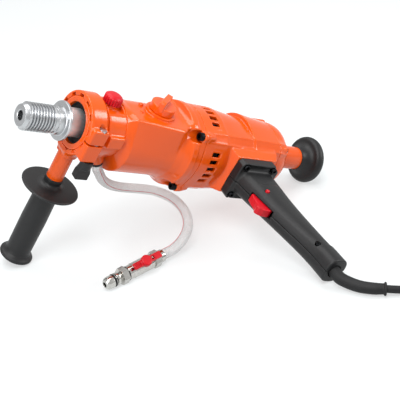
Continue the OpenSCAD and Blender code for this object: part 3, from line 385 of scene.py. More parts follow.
# %% Geometry Nodes: threads wound round a route
BRAID = {"Threads": 8, "Turns": 15.0, "Radius": 0.0058, "Thread Radius": 0.00016, "Points": 300}
wound, given = new_tree("wound_threads", BRAID)
line = geo(wound, "CurvePrimitiveLine")["Curve"]
fine = geo(wound, "ResampleCurve", {"Curve": line, "Count": given["Points"]})[0]
copies = geo(wound, "DuplicateElements", {"Geometry": fine, "Amount": given["Threads"]}, domain="SPLINE")
share = geo(wound, "SplineParameter")["Factor"]
route = {"Curves": given["Geometry"], "Factor": share}
sample = geo(wound, "SampleCurve", route, mode="FACTOR", use_all_curves=True)
first = calc(wound, "DIVIDE", copies["Duplicate Index"], given["Threads"])
phase = calc(wound, "ADD", calc(wound, "MULTIPLY", share, given["Turns"]), first)
angle = calc(wound, "MULTIPLY", phase, 2 * math.pi)
spoke = add(wound, "ShaderNodeVectorMath", {0: sample["Normal"], "Scale": given["Radius"]}, operation="SCALE")
swung = add(wound, "ShaderNodeVectorRotate", {
    "Vector": spoke.outputs[0], "Axis": sample["Tangent"], "Angle": angle,
}, rotation_type="AXIS_ANGLE")
spot = add(wound, "ShaderNodeVectorMath", {0: sample["Position"], 1: swung.outputs[0]}, operation="ADD")
laid = geo(wound, "SetPosition", {"Geometry": copies["Geometry"], "Position": spot.outputs[0]})[0]
ring = geo(wound, "CurvePrimitiveCircle", {"Resolution": 5, "Radius": given["Thread Radius"]})[0]
swept = geo(wound, "CurveToMesh", {"Curve": laid, "Profile Curve": ring, "Fill Caps": True})[0]
finish_tree(wound, given, swept)
print(wound.name, len(wound.nodes), "nodes")

# %% Braid, both ways round
for way, name in ((1, "hose_braid_right"), (-1, "hose_braid_left")):
    values = {**BRAID, "Turns": way * BRAID["Turns"], "Material": braid_white}
    piece = grow(name, route_curve(name, hose_path), wound, values)
    settle(piece, "clear_hose", crease=60)

# %% Red marking thread
_, side, over = carried_frames(hose_path)
mark_angle, mark_out, mark_radius = math.radians(54), 6.1, 0.34
mark_path = hose_path + mark_out * (math.cos(mark_angle) * side + math.sin(mark_angle) * over)
dress("hose_marking_thread", tube_mesh(mark_path[2:-2], mark_radius, 6), thread_red, crease=60)

# %% [markdown]
# ## Mains lead
# A 9 mm rubber lead comes out of a bend sleeve at the foot of the grip and leaves the picture. The
# rest of its length is put away in a tied coil, with the plug beside it, just out of view. Sleeve,
# lead, coil and tail are drawn as one cable, because a real one has no joints in it.

# %% Lead and coil
CABLE = 9.0
grip_foot = [on_floor([321, 9.5, -211]), on_floor([321, 9.5, -222])]
sleeve_lay = [
    [64, -149, 12.6], [67, -156, 10.2], [72, -166, 8.4], [77, -174.5, 8], [85, -184, 8], [92, -190, 8],
    [97, -194.5, 8],
]
cable_dir = np.array([math.cos(math.radians(-35)), math.sin(math.radians(-35)), 0])
cable_leave = np.array([105, -200, 7.0])
# The coil is wound in layers: in, up, out and up again.
loops, layers, pitch, coil_out, coil_low = 10, 4, CABLE + 0.7, 6.9 * CABLE, CABLE / 2 + 1.3
layer_turns = loops / layers
coil_angle = math.radians(-35 - 90)
coil_start = cable_leave + 92 * cable_dir + np.array([0, 0, coil_low - cable_leave[2]])
coil_centre = coil_start - coil_out * np.array([math.cos(coil_angle), math.sin(coil_angle), 0])
turns = np.arange(loops * 48 + 1) / 48
layer = np.floor(turns / layer_turns)
part = turns - layer * layer_turns
winding = np.where(layer % 2 == 0, part, layer_turns - part)
step = np.floor(turns / layer_turns + 0.5)
climb = step - 0.5 + np.clip(2 * (turns - step * layer_turns), -0.5, 0.5)
climb = np.where(step == 0, 0, np.where(step == layers, layers - 1, climb))
reach, turned = coil_out - pitch * winding, coil_angle + 2 * np.pi * turns
coil = coil_centre + np.stack([reach * np.cos(turned), reach * np.sin(turned), pitch * climb], 1)
coil_first, coil_last = coil_start - CABLE * cable_dir, coil[-1] + CABLE * cable_dir
sleeve_path = smooth_route(grip_foot + sleeve_lay, 5)
free_path = smooth_route([sleeve_lay[-1], cable_leave, [122, -212, 6], [142, -226, 5.8], coil_first], 5)
plug_back = np.array([235, -291, 19.0])
tail_path = smooth_route([coil_last, [199, -265.5, 34], [211, -274, 29], [224, -283, 21.5], plug_back], 5)
lead_path = np.vstack([sleeve_path[5:-1], free_path, coil, tail_path])
lead_parts = ["mains_cable", "cable_coil", "cable_tail"]
lead = dress("mains_lead", tube_mesh(lead_path, CABLE / 2, 18), rubber, lead_parts, crease=50)

# %% Bend sleeve
sleeve_radius = 7.7 - 1.2 * np.linspace(0, 1, len(sleeve_path))
sleeve_radius[0] = 7.4
# A rolled bead closes the sleeve, and a shallow groove runs before it.
sleeve_radius[-9:] = [6.5, 6.45, 6.35, 6.3, 6.6, 7.6, 8.0, 7.8, 6.9]
bead_dir = unit(sleeve_path[-1] - sleeve_path[-6])
sleeve_path[-5:] = [sleeve_path[-6] + bead_dir * d for d in (0.9, 1.5, 2.3, 3.3, 3.9)]
sleeve = dress("bend_sleeve", tube_mesh(sleeve_path, sleeve_radius, 28), rubber, ["cable_sleeve"], crease=50)

# %% [markdown]
# ## Turned pieces
# Shafts, tubes, knobs and fittings are turned on a lathe, so the script does the same: a half outline
# is drawn beside the axis, its corners are broken with small radii, and it is spun. Broken corners
# matter, because every machined edge has one and it is what catches the light.

# %% Outlines and their corners
def soften(profile, radius, cuts=4):
    """Rounds the inner corners of an outline of (along, out) points."""
    p = np.asarray(profile, float)
    out = [p[0]]
    for a, b, c in zip(p[:-2], p[1:-1], p[2:]):
        la, lc = np.linalg.norm(a - b), np.linalg.norm(c - b)
        if la < 1e-6 or lc < 1e-6:
            continue
        bend = math.acos(max(-1, min(1, float(np.dot((a - b) / la, (c - b) / lc)))))
        back = min(radius / max(math.tan(bend / 2), 1e-3), 0.45 * la, 0.45 * lc)
        if bend > math.radians(172):
            out.append(b)
            continue
        s, e = b + (a - b) / la * back, b + (c - b) / lc * back
        for t in np.linspace(0, 1, cuts + 1):
            out.append((1 - t) ** 2 * s + 2 * t * (1 - t) * b + t**2 * e)
    return np.array(out + [p[-1]])


def plain_bar(low, high, r):
    return [(low, 0), (low, r), (high, r), (high, 0)]


def washer(low, high, r_in, r_out):
    return [(low, r_in), (low, r_out), (high, r_out), (high, r_in), (low, r_in)]


print("a softened bar has", len(soften(plain_bar(0, 10, 5), 0.5)), "outline points")

# %% Spinning and stacking
def spun(profile, start, axis, around=96, first=(0.31, 0.74, 0.6)):
    """Spins an outline of (along, out) points about an axis. Out may differ round the axis."""
    axis = unit(axis)
    side = unit(np.asarray(first) - axis * np.dot(first, axis))
    over = np.cross(axis, side)
    angle = 2 * np.pi * np.arange(around) / around
    circle = np.cos(angle)[:, None] * side + np.sin(angle)[:, None] * over
    points, faces, rows = [], [], []
    for a, r in profile:
        at = len(points)
        if np.max(r) < 1e-6:
            points.append(np.asarray(start) + a * axis)
            rows.append([at] * around)
        else:
            points.extend(np.asarray(start) + a * axis + np.broadcast_to(r, around)[:, None] * circle)
            rows.append(list(range(at, at + around)))
    for low, high in zip(rows[:-1], rows[1:]):
        for j in range(around):
            i = (j + 1) % around
            face = list(dict.fromkeys([low[j], low[i], high[i], high[j]]))
            if len(face) > 2:
                faces.append(tuple(face))
    return np.array(points), faces


def stack(*shapes):
    points, faces, at = [], [], 0
    for p, f in shapes:
        points.append(np.asarray(p))
        faces += [tuple(i + at for i in face) for face in f]
        at += len(p)
    return np.vstack(points), faces


print("a spun bar has", len(spun(plain_bar(0, 10, 5), ORIGIN, X)[1]), "faces")

# %% [markdown]
# ## Moulded and cast pieces
# Castings and mouldings are blends: bosses, ribs and shoulders run into each other with fillets. A
# field gives, for any point, how far it is outside the surface, and fields are joined with a rounded
# minimum, which makes a fillet of a chosen size. The skin is then drawn where the field is zero: one
# vertex in each cell that the surface crosses, pulled onto the surface with the field's own slope.

# %% Field helpers
def both(out, end, edge):
    return np.minimum(np.maximum(out, end), 0) + np.hypot(np.maximum(out, 0), np.maximum(end, 0)) - edge


def rod(along, across, over, radius, start, stop, edge=0.0):
    return both(np.hypot(across, over) - radius + edge, np.maximum(start - along, along - stop) + edge, edge)


def cornered(d, edge):
    outside = np.sqrt(sum(np.maximum(q, 0) ** 2 for q in d))
    return outside + np.minimum(np.maximum(np.maximum(d[0], d[1]), d[2]), 0) - edge


def block(x, y, z, low, high, edge=0.0):
    sides = zip((x, y, z), low, high)
    return cornered([np.abs(v - (a + b) / 2) - (b - a) / 2 + edge for v, a, b in sides], edge)


def outline(u, v, corners):
    far = np.full(np.shape(u), np.inf)
    sign = np.ones(np.shape(u))
    for (ax, ay), (bx, by) in zip(corners, corners[1:] + corners[:1]):
        ex, ey, wx, wy = bx - ax, by - ay, u - ax, v - ay
        t = np.clip((wx * ex + wy * ey) / (ex * ex + ey * ey), 0, 1)
        far = np.minimum(far, (wx - ex * t) ** 2 + (wy - ey * t) ** 2)
        a, b, c = v >= ay, v < by, ex * wy > ey * wx
        sign = np.where((a & b & c) | (~a & ~b & ~c), -sign, sign)
    return sign * np.sqrt(far)


def slab(u, v, w, corners, half, edge):
    return both(outline(u, v, corners) + edge, np.abs(w) - half + edge, edge)


def join(a, b, fillet):
    h = np.maximum(fillet - np.abs(a - b), 0) / fillet
    return np.minimum(a, b) - h * h * fillet / 4


def carve(a, b, fillet):
    return -join(-a, b, fillet)


def pear(u, v, r1, reach, r2):
    """The hull of a circle at the origin and a circle out along v."""
    b = (r1 - r2) / reach
    a = np.sqrt(np.maximum(1 - b * b, 0))
    u = np.abs(u)
    k = -b * u + a * v
    flank = np.where(k > a * reach, np.hypot(u, v - reach) - r2, u * a + v * b - r1)
    return np.where(k < 0, np.hypot(u, v) - r1, flank)


print("half way along a rod's wall the field is", rod(5.0, 3.0, 4.0, 5, 0, 10))

# %% The skin of a field
def skin(field, low, high, step):
    axes = [np.arange(a, b + step, step) for a, b in zip(low, high)]
    value = field(*np.meshgrid(*axes, indexing="ij"))
    inside = value < 0
    size = np.array(value.shape) - 1
    corners = [(i, j, k) for i in (0, 1) for j in (0, 1) for k in (0, 1)]
    filled = sum(
        inside[i : i + size[0], j : j + size[1], k : k + size[2]].astype(np.int8) for i, j, k in corners
    )
    crossed = (filled > 0) & (filled < 8)
    cells = np.argwhere(crossed)
    number = np.full(size, -1)
    number[crossed] = np.arange(len(cells))
    total, count = np.zeros((len(cells), 3)), np.zeros(len(cells))
    for a in corners:
        for b in corners:
            if sum(np.subtract(b, a)) == 1 and sum(np.abs(np.subtract(b, a))) == 1:
                fa, fb = (value[tuple((cells + c).T)] for c in (a, b))
                hit = (fa < 0) != (fb < 0)
                t = fa[hit] / (fa[hit] - fb[hit])
                total[hit] += np.array(a) + t[:, None] * np.subtract(b, a)
                count[hit] += 1
    points = np.array(low) + (cells + total / count[:, None]) * step
    faces = []
    for axis in range(3):
        p, q = (axis + 1) % 3, (axis + 2) % 3
        lower, upper = (np.take(inside, range(k, size[axis] + k), axis) for k in (0, 1))
        edges = np.argwhere(lower != upper)
        ep, eq = edges[:, p], edges[:, q]
        edges = edges[(ep > 0) & (eq > 0) & (ep < size[p]) & (eq < size[q])]
        ring = []
        for dp, dq in ((1, 1), (0, 1), (0, 0), (1, 0)):
            cell = edges.copy()
            cell[:, p] -= dp
            cell[:, q] -= dq
            ring.append(number[tuple(cell.T)])
        quad = np.stack(ring, 1)
        faces.append(np.where(lower[tuple(edges.T)][:, None], quad, quad[:, ::-1]))
    nudges = np.eye(3) * 0.05
    for _ in range(3):
        f = field(*points.T)
        slope = np.stack([(field(*(points + e).T) - field(*(points - e).T)) / 0.1 for e in nudges], 1)
        pull = f[:, None] * slope / np.maximum((slope**2).sum(1), 0.2)[:, None]
        points = points - np.clip(pull, -0.6 * step, 0.6 * step)
    return points, np.vstack(faces).tolist()


def cast(name, field, low, high, step, finish, stands_for, body="machine", crease=45):
    return dress(name, lay(skin(field, low, high, step)), finish, stands_for, body, crease=crease)


ball = skin(lambda x, y, z: np.sqrt(x * x + y * y + z * z) - 2, [-3] * 3, [3] * 3, 0.5)
print("the skin of a small ball has", len(ball[1]), "faces")

# %% [markdown]
# ## Enamel, mouldings and metals
# The castings are aluminium with a thick glossy orange enamel. Enamel levels out before it dries, so
# it is smooth with a faint orange peel a couple of millimetres wide. Its sharp edges are painted paler,
# a painted highlight for the light that edges catch. Grips are glass-filled nylon, moulded in a
# spark-eroded tool: matte, with a fine pebble. Red parts are ABS with a soft gloss. Shafts are turned
# steel, so their roughness runs in rings round the axis.

# %% Orange enamel on cast aluminium
enamel, tree, shader, place = material("orange_enamel_on_casting", "orange_casting")
drift = noise(tree, place, 40)
corner = add(tree, "ShaderNodeNewGeometry").outputs["Pointiness"]
# Sharp edges, where pointiness is high, blend to a pale orange: a painted highlight.
painted_edge_highlight = ranged(tree, corner, 0.0, 0.35, 0.52, 0.6)
fill(tree, shader, {
    "Base Color": shades(tree, painted_edge_highlight, shades(tree, drift, "#E45206", "#EC5A0A"), "#FF8038"),
    "Roughness": ranged(tree, drift, 0.13, 0.2), "IOR": 1.5, "Specular IOR Level": 0.45,
    "Normal": relief(tree, noise(tree, place, 2.2), 0.05, 0.0006),
})
print(enamel.name)

# %% Black glass-filled nylon
nylon, tree, shader, place = material("black_glass_filled_nylon", "black_moulding")
haze = noise(tree, place, 25)
# The real pebble is about 0.3 mm; 0.9 mm is the finest that still shows in the picture.
pebble = add(tree, "ShaderNodeTexVoronoi", {"Vector": place, "Scale": MM / 0.9}).outputs["Distance"]
fill(tree, shader, {
    "Base Color": shades(tree, haze, "#161617", "#1F1F20"), "Roughness": ranged(tree, haze, 0.4, 0.52),
    "Normal": relief(tree, calc(tree, "ADD", pebble, noise(tree, place, 0.5)), 0.16, 0.0003),
    "IOR": 1.53, "Specular IOR Level": 0.3,
})
print(nylon.name)

# %% Red ABS
abs_red, tree, shader, place = material("red_abs", "red_moulding")
flow = noise(tree, place, 9)
fill(tree, shader, {
    "Base Color": shades(tree, flow, "#BE0818", "#D00C20"), "Roughness": ranged(tree, flow, 0.3, 0.42),
    "Normal": relief(tree, noise(tree, place, 0.7), 0.08, 0.0003), "IOR": 1.54, "Specular IOR Level": 0.3,
})
print(abs_red.name)

# %% Metals
def metal(name, slot, light, dark, rough_low, rough_high, grain, stretch=(1, 1, 1), turn=(0, 0, 0)):
    made, tree, shader, place = material(name, slot)
    laid = add(tree, "ShaderNodeMapping", {"Vector": place, "Rotation": turn, "Scale": stretch}).outputs[0]
    lines = noise(tree, laid, grain, 4)
    fill(tree, shader, {
        "Base Color": shades(tree, lines, dark, light), "Metallic": 1,
        "Roughness": ranged(tree, lines, rough_low, rough_high), "Normal": relief(tree, lines, 0.03, 0.0003),
    })
    return made


# Turning marks are rings round the spindle, so the noise is squeezed along the spindle's own axis.
rings = (8, 0.5, 0.5), (0, -LEAN, 0)
turned_steel = metal("turned_steel", "steel", "#D6D7D9", "#A2A4A6", 0.25, 0.36, 3.0, *rings)
# The sleeve's steel is lighter and bluer than the turned bar: a painted bright reflection on a rougher ground
# finish.
satin_steel_painted_bright = metal("satin_ground_steel_painted_bright", "steel", "#DCE6E8", "#C2CCCF", 0.42, 0.55, 2.0, *rings)
black_oxide = metal("black_oxide_steel", "black_steel", "#26272A", "#131415", 0.3, 0.46, 1.0)
nickel = metal("nickel_plated_brass", "nickel", "#D9D8D4", "#A9A7A2", 0.08, 0.2, 2.0)
cast_metal = metal("bare_cast_aluminium", None, "#B9BCC0", "#8E9195", 0.4, 0.58, 1.5)
bronze = metal("sintered_bronze", None, "#B08D4A", "#8A6A33", 0.4, 0.55, 0.8)
copper = metal("copper_bars", None, "#C4794A", "#9A5A34", 0.25, 0.4, 1.2)
brass = metal("pressed_brass", None, "#C2AB55", "#9C8539", 0.25, 0.42, 1.5)
laminated = metal("laminated_core_steel", None, "#8F9296", "#5E6165", 0.4, 0.6, 0.5, *rings)
print(len(slot_of), "finishes so far")

# %% [markdown]
# ## Inner parts
# Gears, shafts, windings and bearings sit inside the castings and are seen only through the vents or
# when somebody opens the model up. Their CAD shapes are right, so they stay and get real metals.

# %% Inner parts keep their CAD shape
soot = matte("pressed_carbon", None, 0.8, 3, "#1B1B1D", "#37373A", 0.55)
inner_finish = {
    turned_steel: ["spindle_gear", "spindle_bearings", "layshaft", "layshaft_gear", "armature_bearings"],
    cast_metal: ["bearing_bridge", "gear_plate"],
    bronze: ["layshaft_bushes"],
    laminated: ["stator", "armature"],
    copper: ["commutator"],
    brass: ["brush_holders", "hose_fitting"],
    soot: ["carbon_brushes"],
    nylon: ["cooling_fan", "switch_body", "cord_clamp"],
    rubber: ["water_seals"],
    nickel: ["valve_ball"],
}
for finish, names in inner_finish.items():
    for name in names:
        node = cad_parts[name]
        node.data.materials.clear()
        node.data.materials.append(finish)
print(sum(len(v) for v in inner_finish.values()), "inner parts finished")

# %% [markdown]
# ## Spindle
# The spindle is turned from bar: a drilled tip, a 1-1/4 inch thread with seven turns to the inch, a
# shoulder and a stop collar for the core bit, and stepped seats for its bearings and its gear. A
# thread is a ridge that winds along an axis, so a tree sweeps one tooth along a spiral round the core.

# %% Turned spindle
bar = [
    (0.6, 5.6), (0, 6.4), (0, 12.2), (4.4, 13.9), (5, 13.8), (36.5, 13.8), (37.2, 14.6), (40.6, 14.6),
    (41, 16), (48, 16), (48.6, 16.8), (48.8, 21.6), (49.4, 22.25), (52, 22.25), (52.6, 21.6), (52.6, 16),
    (79.6, 16), (79.6, 14.9), (119.8, 14.9), (119.8, 13.9), (157.4, 13.9), (157.4, 9.9), (168, 9.9), (168, 0),
]
# A thin sleeve over the shaft carries that lighter steel, painted bright where the shaft shows.
wear_sleeve = spun(soften(washer(52.7, 74, 15, 16.15), 0.1), ORIGIN, X)
dress("spindle_wear_sleeve", lay(wear_sleeve), satin_steel_painted_bright, (), "spindle", crease=30)
drilled = stack(spun(soften(bar, 0.35), ORIGIN, X), spun([(0.6, 5.6), (22, 5.6), (24, 0)], ORIGIN, X))
dress("spindle_bar", lay(drilled), turned_steel, ["spindle"], "spindle", crease=30)

# %% Geometry Nodes: the thread's ridge
THREAD = {"Turns": 8.9, "Root Radius": 0.0138, "Depth": 0.002, "Pitch": 25.4 / 7 / MM, "Points Per Turn": 64}
ridge, given = new_tree("thread_ridge", THREAD)
helix = geo(ridge, "CurveSpiral", {
    "Resolution": given["Points Per Turn"], "Rotations": given["Turns"], "Start Radius": given["Root Radius"],
    "End Radius": given["Root Radius"], "Height": calc(ridge, "MULTIPLY", given["Turns"], given["Pitch"]),
})[0]
upright = geo(ridge, "SetCurveNormal", {"Curve": helix}, mode="Z_UP")[0]
trapezoid = {"Bottom Width": 1.0, "Top Width": 0.3, "Height": 1.0, "Offset": 0.0}
tooth = geo(ridge, "CurvePrimitiveQuadrilateral", trapezoid, mode="TRAPEZOID")[0]
# Half of the tooth's height is sunk in the core, and the tooth is a little narrower than the pitch.
wide, deep = calc(ridge, "MULTIPLY", given["Pitch"], 0.92), calc(ridge, "MULTIPLY", given["Depth"], 2.0)
size = add(ridge, "ShaderNodeCombineXYZ", {"X": wide, "Y": deep, "Z": 1.0}).outputs[0]
cut = geo(ridge, "Transform", {"Geometry": tooth, "Scale": size, "Rotation": (0, 0, math.radians(90))})[0]
swept = geo(ridge, "CurveToMesh", {"Curve": upright, "Profile Curve": cut, "Fill Caps": True})[0]
finish_tree(ridge, given, swept)
print(ridge.name, len(ridge.nodes), "nodes")

# %% Thread on the spindle
def lay_grown(piece, axes, shift):
    """Turns a grown piece to the drawing's axes, shifts it and lays it on the floor."""
    co = np.array([v.co for v in piece.data.vertices]) * MM
    moved = on_floor(co @ np.array(axes, float).T + np.array(shift))
    piece.data.vertices.foreach_set("co", (moved / MM).ravel())
    return np.hypot(co[:, 0], co[:, 1])


empty = bpy.data.meshes.new("empty")
thread = grow("spindle_thread", empty, ridge, {**THREAD, "Material": turned_steel})
out = lay_grown(thread, [[0, 0, 1], [1, 0, 0], [0, 1, 0]], [4.6, 0, 0])
settle(thread, "steel", body="spindle", crease=30)
print("thread from radius", np.round(out.min(), 2), "to", np.round(out.max(), 2))

# %% Shaft seal
lip = [
    (1.2, 16.2), (1.4, 17.2), (2.4, 18.4), (2.4, 20.8), (1.2, 21.8), (0.4, 22.3), (0, 22.8), (0.2, 23.45),
    (7.5, 23.45), (7.5, 16.2), (1.2, 16.2),
]
seal = spun(soften(lip, 0.4), [71.5, 0, 0], X)
dress("shaft_seal_ring", lay(seal), rubber, ["shaft_seal"], slot="black_moulding")

# %% [markdown]
# ## Neck
# The neck is the ground seat for the front handle's collar, and behind it a thicker nose holds the
# water chamber. Its top is cut flat for the water knob, a pad stands on its side, and a boss below
# takes the hose barb.

# %% Neck casting
WATER_X = 102


def neck_field(x, y, z):
    seat = rod(x, y, z, 30, 67.5, 95, 1.1)
    nose = rod(x, y, z, 33, 93, 117, 1.6)
    nose = carve(nose, block(x, y, z, [94, -60, -40], [113.5, -28, 40], 0.5), 1.5)
    body = join(seat, nose, 1.0)
    body = join(body, block(x, y, z, [95, -10, -37.3], [115, 5, -20], 2.0), 3.0)
    body = join(body, rod(-y, x - WATER_X, z, 8, 20, 32, 0.6), 1.5)
    local = np.stack([x - inlet[0], y - inlet[1], z - inlet[2]], -1)
    far = local @ inlet_dir
    aside = np.linalg.norm(local - far[..., None] * inlet_dir, axis=-1)
    body = join(body, np.maximum(aside - 9, np.maximum(far - 13, -far - 12)), 3.0)
    body = carve(body, rod(x, y, z, 23.5, 60, 89, 0.3), 0.6)
    return carve(body, np.maximum(aside - 5.05, -far), 0.4)


cast("neck_casting", neck_field, [66, -36, -40], [118, 46, 36], 0.9, enamel, ["front_neck"])

# %% [markdown]
# ## Front handle
# A split collar grips the neck. Its bore is notched, so that it can be set at any angle, and two lugs
# beside the split are pulled together by a bolt with a wing nut. The handle's tube is welded to the
# collar and carries a moulded grip with a hand guard.

# %% Split collar
HANDLE_X, BOLT_X, BOLT_Z, NOTCHES = 78, 82, -34.2, 12
COLLAR = [(67.5, 27), (67.5, 35), (68.4, 36.1), (70.5, 36.5), (87, 36.5), (90.5, 34.2), (90.5, 27)]


def collar_field(x, y, z):
    far = np.hypot(y, z)
    near = (np.arctan2(z, y) / (2 * np.pi) * NOTCHES) % 1 - 0.5
    notch = np.maximum(np.abs(near * 2 * np.pi / NOTCHES * far) - 3.7, np.maximum(far - 33.7, x - 80))
    ring = carve(outline(x, far, COLLAR), notch, 0.4)
    body = join(ring, block(x, y, z, [68.6, -17, -39.5], [89.4, 25, -18], 2.6), 2.0)
    slope = 14.2 - 1.6 * np.clip((y - 30) / 12, 0, 1)
    ends = np.maximum(np.abs(y - 36.5) - 5.5, np.abs(x - 79) - 10.5)
    body = join(body, np.maximum(np.hypot(x - HANDLE_X, z) - slope, ends), 4.0)
    body = carve(body, rod(x, y, z, 30.3, 60, 100), 0.9)
    body = carve(body, block(x, y, z, [60, 0.6, -60], [100, 3.0, -20]), 0.6)
    body = carve(body, rod(y, x - BOLT_X, z - BOLT_Z, 3.1, -30, 60), 0.3)
    return carve(body, rod(y, x - BOLT_X, z - BOLT_Z, 4.85, -40, -15.2), 0.2)


cast(
    "handle_collar_casting", collar_field, [66, -39, -42], [92, 44, 39], 0.6, enamel, ["handle_collar"],
    "front_handle",
)

# %% Handle tube and grip
tube = spun(soften(plain_bar(32, 82, 10), 0.2), [HANDLE_X, 0, 0], Y, 64)
dress("handle_tube_painted", lay(tube), enamel, ["handle_tube"], "front_handle")
guard = [
    (76, 0), (76, 10.9), (80.6, 10.9), (81, 10.4), (83.4, 10.5), (85, 11.8), (86.4, 14), (87, 17), (87.4, 26),
    (88, 33.2), (89.2, 34.7), (90.6, 34.1), (91.2, 24), (91.6, 17.5), (94.2, 14.5), (98, 14.4), (138, 15.2),
    (185, 14.8), (188.5, 15.6), (190.4, 17.4), (191.8, 19.4), (193, 20.2), (195.2, 20.2), (197, 18.2),
    (197, 8), (196.4, 7.2), (196.4, 0),
]
grip = spun(soften(guard, 0.9, 5), [HANDLE_X, 0, 0], Y, 112)
dress("handle_grip_moulded", lay(grip), nylon, ["handle_grip"], "front_handle", crease=50)

# %% Clamp bolt and wing nut
def six_flats(half, around=48):
    """The reach of a hexagon at equal steps round its axis, half its width across flats."""
    turn = 2 * np.pi * np.arange(around) / around
    return half / np.cos((turn + np.pi / 6) % (np.pi / 3) - np.pi / 6)


def hexagon(across, start, axis, long, first, dome=0.6):
    """A hexagon bar with a turned chamfer on its free end."""
    flat, reach = six_flats(across / 2), across / math.sqrt(3)
    return spun([
        (0, 0), (0, flat), (long - dome, flat), (long - dome / 3, np.minimum(flat, 0.96 * reach)),
        (long, np.minimum(flat, 0.87 * reach)), (long, 0),
    ], start, axis, 48, first)


bolt_at = [BOLT_X, -15, BOLT_Z]
shank = spun(soften([(0, 0), (0, 3), (53.4, 3), (54, 2.4), (54, 0)], 0.2), bolt_at, Y, 40)
bolt = stack(hexagon(8.3, bolt_at, -Y, 2.4, X), shank)
dress("clamp_bolt_turned", lay(bolt), turned_steel, ["clamp_bolt"], "front_handle", crease=30)


def wing_field(x, y, z):
    u, v, w = x - BOLT_X, z - BOLT_Z, y - 25.4
    hub = rod(w, u, v, 7.5 - 0.05 * w, 0, 10, 0.7)
    wide, deep = (np.interp(w, [8, 14], k) for k in ([5.3, 7.0], [3.3, 4.0]))
    wing = cornered([np.abs(u) - wide, np.abs(v) - deep, np.abs(w - 15.7) - 6.5], 1.2)
    return carve(join(hub, wing, 1.5), rod(w, u, v, 3.05, -5, 40), 0.3)


cast(
    "clamp_wing_nut", wing_field, [72, 24, -43.5], [92, 50.5, -25], 0.5, nylon, ["clamp_lever"], "clamp_lever"
)

# %% [markdown]
# ## Gearbox
# The gearbox casting is a round body with one shoulder drawn out to a long straight edge, so that the
# gear selector stands on a flat top. It flares to a round flange at the back. The section is the hull
# of a circle and a corner, which has an exact distance, and the corner moves out along the body.

# %% Ears and rails, which the gearbox shares with the motor
MOTOR = 9.5
EARS = [math.radians(a) for a in (-155, -45, 45, 155)]
EAR_REACH = math.sqrt(2) * 37.1


def swing(a, p, q):
    return p * math.cos(a) + q * math.sin(a), q * math.cos(a) - p * math.sin(a)


def at_ears(v, w, field):
    out = np.inf
    for a in EARS:
        p, q = swing(a, w, v)
        out = np.minimum(out, field(p - EAR_REACH, q, p))
    return out


def ear_bosses(x, v, w, start, stop, r=6.0):
    def boss(p, q, far):
        return np.minimum(np.hypot(p, q) - r, np.maximum(np.abs(q) - r + 0.4, np.maximum(p, 20 - far)))

    return carve(at_ears(v, w, boss), np.minimum(x - start, stop - x), 1.2)


def rails(v, w, r, top):
    out = np.hypot(v, w) - r
    for a in (math.radians(-45), math.radians(45)):
        p, q = swing(a, w, v)
        for side in (-5.5, 5.5):
            cp, reach = top - 3, np.hypot(top - 3, side)
            hull = pear((p * side - q * cp) / reach, (p * cp + q * side) / reach, r, reach, 2.0)
            out = np.minimum(out, hull)
        face = np.maximum(p - (top - 1), np.maximum(np.abs(q) - 6.5, 20 - p))
        out = join(out, face, 0.8)
    return out


print("ears reach", round(EAR_REACH, 1), "mm from the motor's axis")

# %% Gearbox casting
SELECT_X, SELECT_Z, TOP_FACE = 166, -7, 38.9
FLARE = [(172, 0), (172, 38), (180, 41), (190, 42.8), (198, 46), (205, 50.4), (208, 50.4), (208, 0)]


def gearbox_field(x, y, z):
    v, w = y - MOTOR, -z
    edge = 28 + 10 * np.clip((x - 125) / 60, 0, 1)
    # The shoulder's corner draws in again before the flange, clear of the screw.
    fade = np.clip((x - 184) / 19, 0, 1)
    edge = edge - 12 * fade * fade * (3 - 2 * fade) - 1.7
    reach = np.hypot(edge, TOP_FACE)
    body = pear((w * TOP_FACE + v * edge) / reach, (w * edge - v * TOP_FACE) / reach, 41.5, reach, 3.4)
    # The long edge is broken with a narrow flat.
    body = np.maximum(body, 0.567 * (w - edge) - 0.822 * (v + TOP_FACE) - 3.22)
    # The front draws in to the round nose.
    share = np.clip((x - 116.2) / 8.8, 0, 1)
    body = (1 - share) * (np.hypot(y, z) - 34) + share * body
    body = np.maximum(body, np.maximum(115.8 - x, x - 206))
    flare = carve(outline(x, np.hypot(v, w), FLARE), block(x, y, z, [150, -120, -90], [207, -32.6, 90]), 0.8)
    body = join(body, rod(x, v, w, 51, 204.8, 213, 0.8), 12.0)
    body = join(body, flare, 1.5)
    back = carve(rails(v, w, 49.5, 53.8), np.minimum(x - 211, 221.75 - x), 0.7)
    body = join(body, back, 1.2)
    body = join(body, ear_bosses(x, v, w, 215.4, 221.75), 1.0)
    body = join(body, rod(-y, x - SELECT_X, z - SELECT_Z, 18.2, 20, 35.8, 0.5), 1.0)
    # Two plain bumps stand beside the selector.
    marks = np.minimum(
        block(x - 145.6, y, z - 5.2, [-2.2, -34.4, -2.2], [2.2, -30, 2.2], 0.8),
        block(x - 138.8, y, z + 9.6, [-1.8, -34.2, -2.1], [1.8, -30, 2.1], 0.8),
    )
    body = join(body, marks, 0.8)
    pockets = at_ears(v, w, lambda p, q, _: np.hypot(p, q) - 7.2)
    body = carve(body, np.maximum(pockets, np.maximum(197 - x, x - 215.4)), 1.5)
    body = carve(body, rod(x, v, w, 37, 128, 230), 0.5)
    return carve(body, rod(-y, x - SELECT_X, z - SELECT_Z, 5.1, 0, 60), 0.4)


cast(
    "gearbox_casting", gearbox_field, [114.5, -45.5, -55], [223.5, 62, 56], 0.94, enamel, ["gearbox_housing"]
)

# %% Gear selector
FINGER_BAR = [(-15.5, 3), (-15.5, 14.2), (-13.4, 16.4), (13.4, 16.4), (15.5, 14.2), (15.5, 3)]


